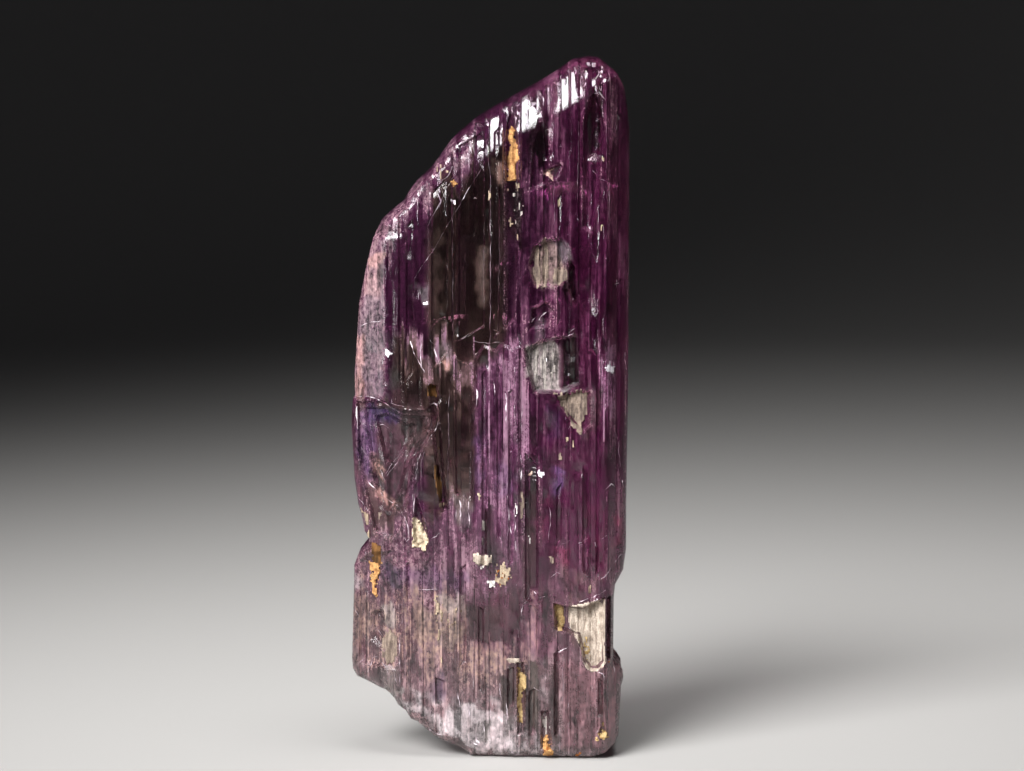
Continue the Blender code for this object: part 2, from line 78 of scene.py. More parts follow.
# the solid's own values, in mm: the outline and planes, then what is cut into them
# flutes are (left, right, foot, top, depth, slant), hollows are (depth, side width, corners)
crystalShape = {
    "height": 75.0,
    "taper": 0.014,
    "fluteSide": 0.2,
    "sideEdge": (0.6, 0.6, 0.6, 0.5),
    "tipEdge": (4.4, 4.2, 2.6, 0.0),
    "footEdge": (1.7, 1.8, 1.6, 0.0),
    "rightSide": [
        (13.6, 73.1), (14.3, 71.7), (14.65, 69.8), (14.9, 67.0), (14.9, 48.9), (14.85, 38.2),
        (14.7, 27.4), (14.7, 22.4), (14.4, 20.3), (13.5, 18.8), (13.35, 17.4), (13.3, 10.7),
        (13.9, 10.1), (14.35, 9.4), (14.45, 8.5), (14.2, 7.6), (14.0, 3.6),
    ],
    "foot": [
        (14.0, 2.2), (13.6, 1.3), (12.7, 0.6), (11.2, 0.0), (-2.0, 0.0), (-2.9, 0.7), (-4.0, 1.2),
        (-5.5, 1.8), (-6.6, 2.6), (-7.5, 3.4), (-8.5, 3.9), (-9.1, 4.8), (-9.9, 5.4), (-10.3, 6.1),
        (-11.1, 6.9), (-13.0, 7.6), (-14.4, 8.0),
    ],
    "leftSide": [
        (-14.8, 9.0), (-14.9, 10.1), (-14.65, 17.5), (-14.6, 20.3), (-14.0, 21.8), (-12.95, 23.0),
        (-12.9, 23.5), (-13.4, 24.2), (-13.7, 25.8), (-14.1, 27.1), (-14.5, 29.8), (-14.8, 36.0),
        (-14.65, 38.3), (-14.4, 38.9), (-14.4, 41.4), (-14.1, 45.4), (-13.9, 48.7), (-13.1, 52.6),
        (-12.3, 55.8),
    ],
    "tip": [
        (-11.5, 57.6), (-10.7, 58.4), (-9.1, 59.7), (-8.4, 60.9), (-7.7, 61.8), (-5.95, 63.5),
        (-4.0, 66.2), (-2.9, 67.3), (-1.0, 68.8), (1.2, 70.1), (4.5, 71.9), (7.2, 73.5), (8.9, 74.7),
        (10.5, 75.0), (11.6, 74.9), (12.5, 74.2),
    ],
    "frontPlanes": [
        (-15.0, -1.6), (-11.0, -4.6), (-9.6, -4.9), (-9.4, -4.7), (-6.5, -4.85), (-6.3, -5.15),
        (-3.95, -5.3), (-3.75, -5.0), (0.0, -5.25), (0.2, -5.5), (1.45, -5.6), (1.6, -5.35),
        (3.3, -5.5), (3.5, -5.8), (5.7, -5.9), (5.85, -5.65), (8.4, -5.85), (8.6, -6.15), (9.4, -6.2),
        (9.55, -6.0), (12.4, -6.4), (13.1, -5.7), (13.3, -5.35), (15.0, -3.5),
    ],
    "backPlanes": [
        (-15.0, 1.6), (-12.4, 3.9), (-10.4, 4.2), (-10.2, 3.95), (-7.0, 4.3), (-6.8, 4.6), (-3.6, 4.9),
        (-3.4, 4.65), (-0.6, 4.95), (-0.4, 5.4), (2.2, 5.7), (2.4, 5.4), (5.2, 5.8), (5.4, 6.15),
        (8.7, 6.4), (10.2, 5.6), (10.4, 5.25), (12.6, 4.3), (12.8, 4.1), (15.0, 2.7),
    ],
    "frontFlutes": [
        (-8.8, -7.9, 40.5, 57.0, 0.22, 1.1), (-6.1, -4.3, 41.8, 60.6, 0.3, 1.9),
        (-3.2, -0.4, 44.9, 65.6, 0.3, 1.6), (0.5, 1.2, 45.2, 67.0, 0.24, 0.7),
        (10.6, 11.4, 44.2, 54.6, 0.2, -0.8), (7.2, 7.8, 46.6, 60.2, 0.22, 0.6),
        (13.4, 13.9, 24.0, 69.0, 0.25, -0.6), (-3.6, -1.7, 28.6, 43.2, 0.45, -0.9),
        (-0.8, -0.2, 20.5, 41.6, 0.3, 0.5), (0.8, 1.3, 24.0, 43.0, 0.26, -0.4),
        (2.0, 2.6, 21.0, 39.6, 0.28, 0.5), (3.8, 5.3, 17.4, 33.2, 0.5, -1.3),
        (7.1, 7.8, 23.0, 29.2, 0.32, 0.9), (9.9, 10.6, 20.4, 31.6, 0.35, -0.7),
        (11.3, 11.7, 20.0, 44.0, 0.2, 0.3), (-8.9, -8.4, 10.5, 21.0, 0.25, 0.4),
        (-5.8, -4.7, 5.8, 8.9, 0.35, -0.5), (-3.2, -2.4, 9.8, 20.6, 0.3, 0.6),
        (-1.2, -0.5, 7.4, 16.6, 0.3, -0.4), (1.9, 2.7, 5.4, 9.8, 0.4, 0.3),
        (4.2, 4.9, 2.4, 7.4, 0.4, 0.3), (6.9, 7.5, 2.4, 11.6, 0.5, 0.4),
        (11.6, 12.2, 4.9, 9.0, 0.4, -0.3),
    ],
    "backFlutes": [
        (-9.9, -8.7, 27.0, 54.0, 0.3, 1.2), (-6.4, -4.4, 48.5, 60.0, 0.4, 1.8),
        (-5.1, -4.3, 9.0, 28.0, 0.3, -0.6), (-3.0, -1.3, 31.0, 64.0, 0.5, -1.4),
        (0.2, 1.7, 29.5, 52.0, 0.3, 1.0), (3.0, 3.9, 20.0, 67.5, 0.6, -0.9),
        (6.0, 7.4, 21.0, 48.5, 0.4, 1.1), (10.8, 11.6, 22.0, 69.5, 0.4, -0.8),
        (13.2, 13.7, 25.0, 60.0, 0.3, 0.5), (-9.2, -8.0, 24.0, 34.0, 0.4, 0.9),
        (-2.9, -1.9, 5.0, 24.0, 0.35, 0.7),
    ],
    "frontHollows": {
        "ridged middle": (-0.34, 0.3, [(-1.5, 18.6), (-1.5, 43.4), (-0.6, 44.7), (0.6, 44.2),
            (1.4, 44.9), (2.6, 44.3), (3.4, 44.6), (3.4, 19.4), (0.9, 17.6)]),
        "clay arch": (0.75, 0.25, [(1.7, 46.2), (1.7, 66.4), (1.95, 68.3), (2.4, 69.3), (2.85, 68.1),
            (3.2, 66.0), (3.2, 58.0), (2.8, 47.2)]),
        "middle arch": (0.55, 0.3, [(4.3, 60.8), (4.5, 66.0), (5.1, 67.9), (5.7, 68.3), (6.3, 67.2),
            (6.5, 64.6), (6.2, 61.6)]),
        "right arch": (0.55, 0.35, [(9.8, 57.0), (9.9, 68.2), (10.4, 70.4), (11.1, 71.2), (11.8, 70.2),
            (12.1, 67.0), (11.6, 60.0), (10.9, 56.2)]),
        "pyramid pit": (0.8, 0.4, [(5.4, 62.8), (7.9, 63.9), (7.3, 61.7)]),
        "upper grey hollow": (0.7, 0.3, [(4.1, 53.0), (4.7, 55.1), (6.1, 55.8), (7.6, 56.0),
            (8.6, 54.8), (8.2, 53.5), (7.9, 50.8), (4.8, 50.7)]),
        "hooked pit": (1.2, 0.2, [(8.5, 53.4), (9.1, 53.0), (9.4, 49.1), (9.0, 48.5), (8.3, 50.6)]),
        "tooth": (0.6, 0.3, [(4.2, 46.2), (4.5, 48.6), (6.0, 49.4), (7.0, 48.2), (6.2, 46.4)]),
        "middle grey hollow": (0.9, 0.35, [(3.7, 44.2), (5.5, 45.2), (9.4, 45.8), (9.5, 40.4),
            (7.6, 39.4), (4.7, 39.5), (3.9, 42.5)]),
        "three-cornered hollow": (0.7, 0.35, [(6.9, 38.9), (9.5, 39.9), (10.8, 39.8), (10.8, 36.0),
            (10.0, 35.2), (8.9, 36.2)]),
        "shell-shaped break": (0.5, 0.25, [(-14.2, 38.3), (-11.1, 38.6), (-9.4, 37.7), (-6.8, 37.6),
            (-6.1, 38.3), (-5.5, 37.1), (-5.8, 35.5), (-7.9, 31.9), (-8.4, 29.5), (-9.2, 25.2),
            (-10.2, 23.7), (-12.2, 24.3), (-13.2, 28.0), (-14.1, 33.0)]),
        "its first ripple": (0.45, 0.32, [(-13.4, 37.7), (-11.0, 38.0), (-9.3, 37.1), (-6.7, 37.0),
            (-6.4, 35.6), (-8.5, 32.0), (-9.4, 28.6), (-10.6, 26.0), (-11.8, 27.0), (-12.6, 31.0)]),
        "its second ripple": (0.45, 0.32, [(-12.2, 36.8), (-10.8, 37.2), (-9.0, 36.2), (-7.6, 36.0),
            (-8.0, 34.6), (-10.0, 31.4), (-11.2, 32.0)]),
        "tear-shaped pit": (0.6, 0.3, [(-7.7, 28.6), (-6.7, 25.2), (-6.4, 23.6), (-6.8, 22.3),
            (-8.0, 23.1), (-8.2, 25.2)]),
        "amber groove": (1.0, 0.3, [(-6.5, 40.5), (-5.4, 40.3), (-4.4, 27.0), (-5.2, 26.3),
            (-5.7, 31.0)]),
        "lower right ledge": (1.1, 0.3, [(6.8, 17.1), (7.9, 16.8), (10.0, 16.6), (12.4, 17.8),
            (12.4, 10.6), (11.7, 9.8), (10.9, 9.7), (10.1, 10.7), (9.5, 13.4), (7.0, 14.2)]),
        "right slit": (2.4, 0.15, [(12.5, 17.6), (13.0, 17.9), (13.0, 10.9), (12.5, 10.9)]),
        "worn lower left": (0.5, 0.5, [(-14.1, 21.0), (-12.6, 22.2), (-10.4, 22.5), (-9.7, 17.4),
            (-10.0, 9.4), (-14.1, 9.8)]),
        "left chip": (0.6, 0.5, [(-12.8, 15.4), (-11.4, 16.2), (-10.4, 13.4), (-11.2, 11.2),
            (-12.9, 12.4)]),
        "foot groove": (0.7, 0.3, [(2.9, 10.6), (3.8, 10.6), (4.0, 6.9), (3.7, 2.6), (3.0, 2.6)]),
        "rusty groove": (0.6, 0.3, [(5.5, 5.3), (6.4, 5.3), (6.6, 3.1), (6.9, 1.0), (5.5, 1.0)]),
        "foot pit": (0.6, 0.3, [(12.2, 4.6), (12.8, 2.6), (11.5, 2.5)]),
    },
    "backHollows": {
        "back ledge": (0.8, 0.4, [(-10.8, 46.0), (-2.6, 47.4), (-2.2, 33.5), (-4.8, 29.2),
            (-8.9, 30.4)]),
        "back upper pit": (0.8, 0.35, [(5.1, 60.2), (8.9, 61.4), (9.6, 54.4), (6.2, 52.8)]),
        "back flake": (0.7, 0.9, [(-13.4, 20.6), (-9.6, 22.4), (-8.2, 16.0), (-10.4, 10.8),
            (-13.6, 11.4)]),
        "back foot step": (0.8, 0.4, [(3.4, 15.8), (12.0, 18.4), (12.2, 5.2), (4.4, 4.4)]),
    },
}


# what the skin adds to the solid, in mm
crystalSkin = {
    "seed": 7,
    "stripWidth": (0.15, 1.1),      # the fine ridges that run along the crystal
    "stripGap": 0.06,               # how wide a ridge's side is
    "stripTilt": 0.9,
    "rowHeight": 0.42,
    "rimStep": 0.4,
    "roundingRings": (0.03, 0.08, 0.16, 0.28, 0.45, 0.7, 1.0),
    "wallRings": 14,
    "ridgeDepth": 0.15,
    "frostDepth": 0.03,
    "pitCount": 90,
    "rippleDepth": 0.02,
    "sharpAngle": 24,               # degrees
    # furrows near the tip, in front: left, right, lower and upper end, depth, how wide a side is
    "furrows": [
        (1.4, 2.5, 63.0, 73.0, 0.42, 0.45), (5.8, 6.8, 64.0, 74.0, 0.42, 0.42),
        (7.45, 7.7, 65.5, 74.0, 0.2, 0.1), (8.35, 8.7, 65.0, 74.5, 0.26, 0.14),
        (10.1, 12.0, 64.0, 75.0, 0.5, 0.8), (-1.6, -1.2, 60.0, 68.0, 0.2, 0.16),
        (-3.9, -3.7, 46.0, 62.0, 0.1, 0.1), (0.1, 0.25, 45.0, 62.5, 0.1, 0.06),
    ],
    # the bevel in front of the tip: how steep it is, the share of the way up at which it
    # turns round, and how much steeper or flatter it gets from left to right (x, share)
    "bevelSlope": 0.56,
    "bevelTurn": 0.75,
    "bevel": [
        (-12.0, 0.3), (-6.0, 0.3), (-1.5, 0.45), (-1.0, 1.0), (1.3, 1.05), (1.7, 0.5), (2.4, 0.5),
        (2.7, 1.0), (5.6, 1.05), (5.9, 0.5), (6.7, 0.5), (7.0, 1.0), (9.8, 1.05), (10.3, 0.5),
        (11.9, 0.5), (12.3, 0.95), (12.9, 0.9), (13.3, 0.5), (15.0, 0.5),
    ],
    "glossy": [(-1.4, 69.5), (13.2, 75.6), (13.2, 69.5), (5.0, 66.8), (-1.2, 63.6)],
    "chipped": [(-8.2, 61.6), (-5.5, 64.8), (-1.4, 69.0), (-1.4, 65.6), (-4.6, 61.0), (-7.0, 59.0)],
    "chipDepth": 0.13,
}
touching = 1e-4


def insideLoop(loop, points):
    start = np.array(loop, float)
    end = np.roll(start, -1, axis=0)
    x, z = points[:, :1], points[:, 1:]
    straddles = (start[:, 1] > z) != (end[:, 1] > z)
    rise = np.where(start[:, 1] == end[:, 1], 1.0, end[:, 1] - start[:, 1])
    crossing = start[:, 0] + (z - start[:, 1]) * (end[:, 0] - start[:, 0]) / rise
    return ((straddles & (x < crossing)).sum(axis=1) % 2).astype(bool)


def nearestEdge(loop, points):
    # distance to a closed loop, the edge that is nearest, and where on that edge
    loop = np.array(loop, float)
    along = np.roll(loop, -1, axis=0) - loop
    best = np.full(len(points), 1e9)
    edge = np.zeros(len(points), int)
    share = np.zeros(len(points))
    for number, (corner, step) in enumerate(zip(loop, along)):
        offset = points - corner
        where = np.clip(offset @ step / (step @ step), 0.0, 1.0)
        away = np.linalg.norm(offset - where[:, None] * step, axis=1)
        closer = away < best
        best[closer], edge[closer], share[closer] = away[closer], number, where[closer]
    return best, edge, share


def depthInLoop(loop, points):
    # distance to the loop's edge, positive inside and negative outside
    away = nearestEdge(loop, points)[0]
    return np.where(insideLoop(loop, points), away, -away)


def smoothStep(low, high, value):
    t = np.clip((value - low) / (high - low), 0.0, 1.0)
    return t * t * (3 - 2 * t)


def wander(points, size, seed):
    # smooth noise, about -1 to 1, whose lumps have the given size
    shifted = points / np.array(size) + seed * 17.31
    return np.array([noise.noise(Vector(p)) for p in shifted.tolist()])


def flatWander(flat, sizeX, sizeZ, seed):
    place = np.column_stack([flat[:, 0], np.zeros(len(flat)), flat[:, 1]])
    return wander(place, (sizeX, 1.0, sizeZ), seed)


def outlineLoop():
    edges = {"rightSide": "sideEdge", "foot": "footEdge", "leftSide": "sideEdge", "tip": "tipEdge"}
    loop = [point for name in edges for point in crystalShape[name]]
    finish = [crystalShape[edges[name]] for name in edges for _ in crystalShape[name]]
    return np.array(loop), np.array(finish)


def fineOutline():
    loop, finish = outlineLoop()
    points, sizes = [], []
    for i in range(len(loop)):
        j = (i + 1) % len(loop)
        count = max(1, int(np.linalg.norm(loop[j] - loop[i]) / crystalSkin["rimStep"]))
        for share in np.arange(count) / count:
            points.append(loop[i] + share * (loop[j] - loop[i]))
            sizes.append(finish[i] + share * (finish[j] - finish[i]))
    return np.array(points), np.array(sizes)


def inwardNormals(loop):
    along = np.roll(loop, -1, axis=0) - loop
    along /= np.linalg.norm(along, axis=1)[:, None]
    mean = along + np.roll(along, 1, axis=0)
    mean /= np.linalg.norm(mean, axis=1)[:, None]
    return np.column_stack([mean[:, 1], -mean[:, 0]])


def clockwise(corners):
    loop = np.array(corners, float)
    following = np.roll(loop, -1, axis=0)
    turning = (loop[:, 0] * following[:, 1] - loop[:, 1] * following[:, 0]).sum()
    return loop[::-1].copy() if turning > 0 else loop


def evenly(corners, step, closed=True):
    # more points along a line of corners, so that no stretch is longer than step
    corners = np.array(corners, float)
    ends = np.roll(corners, -1, axis=0) if closed else corners[1:]
    points = []
    for start, end in zip(corners, ends):
        count = max(1, int(np.ceil(np.linalg.norm(end - start) / step)))
        points += [start + share * (end - start) for share in np.arange(count) / count]
    return np.array(points if closed else points + [corners[-1]])


def fluteCorners(left, right, lower, upper, slant):
    return [(left, lower), (left, upper), (right, upper + slant), (right, lower + slant)]


def stripEdges(low, high, chance):
    narrow, wide = crystalSkin["stripWidth"]
    edges = [low]
    while edges[-1] < high:
        edges.append(edges[-1] + narrow + (wide - narrow) * chance.random() ** 2.4)
    return np.array(edges)


def stripPlace(across, along, edges, reach):
    # which strip a point is on, as a place to read noise at, and how far across it is
    strip = np.clip(np.searchsorted(edges, across), 1, len(edges) - 1)
    share = (across - edges[strip - 1]) / (edges[strip] - edges[strip - 1]) - 0.5
    return np.column_stack([strip * 7.3, np.zeros(len(strip)), along / reach]), share


def stripDepth(across, along, edges, seed):
    # each strip is sunk and tilted by its own amount, which drifts and breaks along it
    place, share = stripPlace(across, along, edges, 13.0)
    drift = wander(place, (1, 1, 1), seed)
    tilt = wander(place, (1, 1, 1), seed + 9)
    place, _ = stripPlace(across, along, edges, 4.5)
    breaks = wander(place, (1, 1, 1), seed + 5)
    level = np.clip(0.5 + 1.1 * drift, 0, 1) * (0.75 + 0.25 * np.sign(breaks))
    return np.clip(level + crystalSkin["stripTilt"] * tilt * share, 0, 1)


def stripTone(across, along, edges, seed):
    # how pale a strip is, about 0 to 1
    place, _ = stripPlace(across, along, edges, 8.0)
    broad, _ = stripPlace(across, along, edges, 30.0)
    tone = 0.5 + 0.8 * wander(place, (1, 1, 1), seed) + 0.5 * wander(broad, (1, 1, 1), seed + 3)
    return np.clip(tone, 0, 1)


def scatterPits(chance):
    # small etched pits, longer than they are wide: place, half sizes, depth
    pits = []
    for _ in range(crystalSkin["pitCount"]):
        x, z = chance.uniform(-13.5, 13.5), chance.uniform(3.0, 71.0)
        wide = chance.uniform(0.3, 0.8)
        pits.append((x, z, wide, wide * chance.uniform(1.2, 3.5), chance.uniform(0.08, 0.26)))
    return pits


class crystalFace:
    # one broad face of the crystal: sign is -1 in front and 1 behind
    def __init__(self, sign, planes, flutes, hollows, column, seed):
        chance = random.Random(crystalSkin["seed"] + seed)
        self.sign, self.planes, self.column, self.seed = sign, planes, column, seed
        side = crystalShape["fluteSide"]
        self.cuts = [(fluteCorners(*flute[:4], flute[5]), flute[4], side) for flute in flutes]
        self.cuts += [(loop, depth, width) for depth, width, loop in hollows.values()]
        self.smooth = [hollows[name][2] for name in ("shell-shaped break", "back flake") if name in hollows]
        self.edges = stripEdges(-15.2, 15.2, chance)
        self.pits = scatterPits(chance)
        self.furrows = crystalSkin["furrows"] if sign < 0 else []

    def solidDepth(self, flat):
        stations, depths = zip(*self.planes)
        plane = np.interp(flat[:, 0], stations, depths)
        # lower down the long edges between planes are worn away
        shifts = (-2.4, -1.2, 0, 1.2, 2.4)
        plain = sum(np.interp(flat[:, 0] + shift, stations, depths) for shift in shifts) / len(shifts)
        worn = smoothStep(46.0, 40.0, flat[:, 1] + 5 * flatWander(flat, 3.0, 8.0, self.seed))
        plane = plane + (plain - plane) * worn * smoothStep(12.0, 10.0, np.abs(flat[:, 0]))
        fall = crystalShape["taper"] * np.maximum(flat[:, 1] - crystalShape["height"] / 2, 0)
        loop, finish = outlineLoop()
        away, edge, share = nearestEdge(loop, flat)
        following = (edge + 1) % len(loop)
        sizes = finish[edge] + share[:, None] * (finish[following] - finish[edge])
        short = np.clip(1 - away / sizes[:, 0], 0.0, 1.0)
        curve = 1 - np.sqrt(1 - short**2)
        if self.sign < 0:
            # the front of the slanting tip is a flat bevel below a round edge
            rank = np.column_stack([flat[:, 0], np.zeros(len(flat))])
            slope = crystalSkin["bevelSlope"] * np.interp(flat[:, 0], *zip(*crystalSkin["bevel"]))
            slope = slope * (1 + 0.3 * flatWander(rank, 0.3, 1.0, 29))
            turn = crystalSkin["bevelTurn"]
            turned = np.clip((short - turn) / (1 - turn), 0, 1)
            rest = 1 - 0.766 * slope
            above = slope * (0.536 + 0.23 * turned) + rest * (1 - np.sqrt(1 - turned**2))
            bevel = np.where(short < turn, slope * short**2 / (short + 0.3), above)
            share = smoothStep(3.0, 4.2, sizes[:, 0])
            curve = curve + (bevel - curve) * share
        fall = fall + sizes[:, self.column] * curve
        for corners, depth, width in self.cuts:
            inside = depthInLoop(corners, flat)
            # what stands out fades away lower down
            fading = 1.0 if depth > 0 else smoothStep(19.0, 25.0, flat[:, 1])
            fall = fall + depth * fading * np.clip(inside / width, 0, 1)
        return plane - self.sign * fall

    def fineDepth(self, flat):
        # how much deeper the skin lies than the solid: ridges, ripples, pits and etching
        ridges = crystalSkin["ridgeDepth"] * stripDepth(flat[:, 0], flat[:, 1], self.edges, self.seed)
        if self.sign < 0:
            # the upper part is smoother, most of all round the clear window
            calm = 0.5 + 0.35 * smoothStep(3.0, 1.0, flat[:, 0])
            ridges = ridges * (1 - calm * smoothStep(42.0, 46.0, flat[:, 1]))
            glossy = smoothStep(-0.4, 0.6, depthInLoop(crystalSkin["glossy"], flat))
            ridges = ridges * (1 - 0.8 * glossy)
        else:
            ridges = ridges * (1 - 0.6 * smoothStep(36.0, 44.0, flat[:, 1]))
        for loop in self.smooth:
            inside = smoothStep(-0.2, 0.5, depthInLoop(loop, flat))
            reach = np.hypot(flat[:, 0] + 5.0, flat[:, 1] - 38.5)
            ripple = 0.5 + 0.5 * np.sin(reach * 5.2 + 1.3 * flatWander(flat, 3.0, 3.0, 3))
            ridges = ridges * (1 - inside) + inside * crystalSkin["rippleDepth"] * ripple
        sunk = ridges
        for x, z, wide, tall, depth in self.pits:
            reach = np.hypot((flat[:, 0] - x) / wide, (flat[:, 1] - z) / tall)
            sunk = np.maximum(sunk, depth * np.clip(1 - reach, 0, 1) ** 0.7)
        for left, right, lower, upper, depth, width in self.furrows:
            inside = depthInLoop(fluteCorners(left, right, lower, upper, 0.0), flat)
            sunk = np.maximum(sunk, depth * np.clip(inside / width, 0, 1))
        if self.sign < 0:
            chipped = smoothStep(-0.3, 0.8, depthInLoop(crystalSkin["chipped"], flat))
            chipsAndGlints = np.abs(flatWander(flat, 0.45, 2.0, 91)) + 0.5 * np.abs(flatWander(flat, 0.25, 0.9, 93))
            sunk = sunk + crystalSkin["chipDepth"] * chipped * chipsAndGlints
        etched = smoothStep(24.0, 12.0, flat[:, 1])
        sunk = sunk + etched * crystalSkin["frostDepth"] * (1 + flatWander(flat, 0.45, 0.9, 11))
        return sunk * smoothStep(0.0, 0.8, flat[:, 1])      # the foot it stands on stays level

    def depthAt(self, flat):
        return self.solidDepth(flat) - self.sign * self.fineDepth(flat)

    def sheet(self):
        # the face drawn flat, as triangles over a grid that follows every crease
        outline, sizes = fineOutline()
        inward = inwardNormals(outline)
        points, edges = [outline], []
        count = len(outline)
        for share in crystalSkin["roundingRings"]:
            points.append(outline + inward * sizes[:, :1] * share)
            count += len(outline)
        for corners, _, width in self.cuts:
            outer = clockwise(corners)
            for loop in (outer, outer + inwardNormals(outer) * width * np.sqrt(2)):
                loop = evenly(loop, crystalSkin["rowHeight"])
                edges += [(count + i, count + (i + 1) % len(loop)) for i in range(len(loop))]
                points.append(loop)
                count += len(loop)
        for x, _ in self.planes[1:-1]:
            line = evenly([(x, 38.0), (x, crystalShape["height"] + 1)], crystalSkin["rowHeight"], False)
            edges += [(count + i, count + i + 1) for i in range(len(line) - 1)]
            points.append(line)
            count += len(line)
        for left, right, lower, upper, _, width in self.furrows:
            for inset in (0.0, width * 0.95):
                loop = evenly(fluteCorners(left + inset, right - inset, lower + inset, upper - inset, 0.0),
                              crystalSkin["rowHeight"])
                edges += [(count + i, count + (i + 1) % len(loop)) for i in range(len(loop))]
                points.append(loop)
                count += len(loop)
        gap = crystalSkin["stripGap"] / 2
        columns = np.sort(np.concatenate([self.edges - gap, self.edges + gap]))
        rows = np.arange(0.4, crystalShape["height"], crystalSkin["rowHeight"])
        grid = np.array([(x, z) for x in columns for z in rows])
        loop, _ = outlineLoop()
        clear = depthInLoop(loop, grid) > 0.1
        # a grid point on a narrow wall or beside a crease would make the crease zigzag
        walls = [(corners, width) for corners, _, width in self.cuts]
        walls += [(fluteCorners(*furrow[:4], 0.0), furrow[5]) for furrow in self.furrows]
        for corners, width in walls:
            inside = depthInLoop(corners, grid)
            beside = np.minimum(np.abs(inside), np.abs(inside - width)) < 0.09
            clear &= ~(beside | (inside > 0) & (inside < width) & (width < 0.45))
        points.append(grid[clear])
        points = np.vstack(points)
        rim = list(range(len(outline)))
        edges += [(i, (i + 1) % len(outline)) for i in rim]
        drawn = delaunay_2d_cdt(points.tolist(), edges, [rim], 0, touching)
        flat = np.array([tuple(p) for p in drawn[0]])
        triangles = np.array([list(t) for t in drawn[2]])
        return flat, triangles[insideLoop(loop, flat[triangles].mean(axis=1))]


def rimOf(flat, triangles):
    # the sheet's points on the outline, in order along it
    loop, _ = outlineLoop()
    away, edge, share = nearestEdge(loop, flat)
    place = {i: (edge[i] + share[i]) % len(loop) for i in np.unique(triangles) if away[i] < touching * 5}
    return sorted(place, key=place.get), place


def bandBetween(nearer, farther):
    (first, firstPlace), (second, secondPlace) = nearer, farther
    triangles, i, j = [], 0, 0
    while i < len(first) or j < len(second):
        a, b = first[i % len(first)], second[j % len(second)]
        reachA = firstPlace[first[i + 1]] if i + 1 < len(first) else np.inf
        reachB = secondPlace[second[j + 1]] if j + 1 < len(second) else np.inf
        if j >= len(second) or (i < len(first) and reachA <= reachB):
            triangles.append((a, first[(i + 1) % len(first)], b))
            i += 1
        else:
            triangles.append((a, second[(j + 1) % len(second)], b))
            j += 1
    return triangles


def wallPoints(front, back):
    # rings round the wall: the solid's grooves, with finer ridges along the sides
    outline, sizes = fineOutline()
    inward = inwardNormals(outline)
    nearest, farthest = front.depthAt(outline), back.depthAt(outline)
    chance = random.Random(crystalSkin["seed"] + 3)
    edges = stripEdges(-7.5, 7.5, chance)
    shares = np.linspace(0, 1, crystalSkin["wallRings"] + 2)[1:-1]
    rings = []
    for share in shares:
        depth = nearest + share * (farthest - nearest)
        groove = np.interp(share, [0.16, 0.24, 0.38, 0.6, 0.68, 0.86], [0, 1, 0.1, 0, 0.8, 0])
        upright = np.abs(inward[:, 0]) ** 2
        fine = 0.14 * upright * stripDepth(depth, outline[:, 1], edges, 31)
        fine = fine * smoothStep(0.0, 0.8, outline[:, 1])
        flat = outline + inward * (sizes[:, 3:] * groove + fine[:, None])
        rings.append(np.column_stack([flat[:, 0], depth, flat[:, 1]]))
    return rings


def skinMesh(front, back):
    frontFlat, frontTriangles = front.sheet()
    backFlat, backTriangles = back.sheet()
    print("kunzite: faces drawn,", len(frontTriangles), "and", len(backTriangles), "triangles")
    shift = len(frontFlat)
    members, place = rimOf(backFlat, backTriangles)
    backRim = [i + shift for i in members], {i + shift: place[i] for i in members}
    rims = [rimOf(frontFlat, frontTriangles)]
    points = [
        np.insert(frontFlat, 1, front.depthAt(frontFlat), axis=1),
        np.insert(backFlat, 1, back.depthAt(backFlat), axis=1),
    ]
    loop, _ = outlineLoop()
    outline, _ = fineOutline()
    _, edge, share = nearestEdge(loop, outline)
    outlinePlace = (edge + share) % len(loop)
    order = np.argsort(outlinePlace)
    first = shift + len(backFlat)
    for ring in wallPoints(front, back):
        rims.append(([first + i for i in order], {first + i: outlinePlace[i] for i in order}))
        points.append(ring)
        first += len(ring)
    rims.append(backRim)
    triangles = [frontTriangles, backTriangles[:, ::-1] + shift]
    for nearer, farther in zip(rims, rims[1:]):
        triangles.append(np.array(bandBetween(nearer, farther)))
    return np.vstack(points), np.vstack(triangles)


def addObject(name, points, faces):
    mesh = bpy.data.meshes.new(name)
    mesh.from_pydata((np.asarray(points) * mm).tolist(), [], np.asarray(faces).tolist())
    mesh.update()
    made = bpy.data.objects.new(name, mesh)
    bpy.context.scene.collection.objects.link(made)
    return made


def outwards(made):
    # turns the faces outwards and drops points that no face uses
    edit = bmesh.new()
    edit.from_mesh(made.data)
    loose = [v for v in edit.verts if not v.link_faces]
    bmesh.ops.delete(edit, geom=loose, context="VERTS")
    bmesh.ops.recalc_face_normals(edit, faces=edit.faces)
    edit.to_mesh(made.data)
    edit.free()


def paintPoints(made, name, values):
    layer = made.data.attributes.new(name, "FLOAT", "POINT")
    layer.data.foreach_set("value", np.asarray(values, np.float32))


def meshPoints(made):
    points = np.zeros(len(made.data.vertices) * 3)
    made.data.vertices.foreach_get("co", points)
    return points.reshape(-1, 3) / mm


def smoothed(made, sharpAngle=180):
    made.data.polygons.foreach_set("use_smooth", [True] * len(made.data.polygons))
    if sharpAngle < 180:
        made.data.set_sharp_from_angle(angle=math.radians(sharpAngle))


frontFace = crystalFace(-1, crystalShape["frontPlanes"], crystalShape["frontFlutes"],
                        crystalShape["frontHollows"], 1, 1)
backFace = crystalFace(1, crystalShape["backPlanes"], crystalShape["backFlutes"],
                       crystalShape["backHollows"], 2, 9)
skin = addObject("kunzite_skin", *skinMesh(frontFace, backFace))
outwards(skin)
smoothed(skin, crystalSkin["sharpAngle"])
print("kunzite: skin has", len(skin.data.polygons), "faces")


def newMaterial(name):
    material = bpy.data.materials.new(name)
    material.use_nodes = True
    tree = material.node_tree
    tree.nodes.clear()
    return material, tree


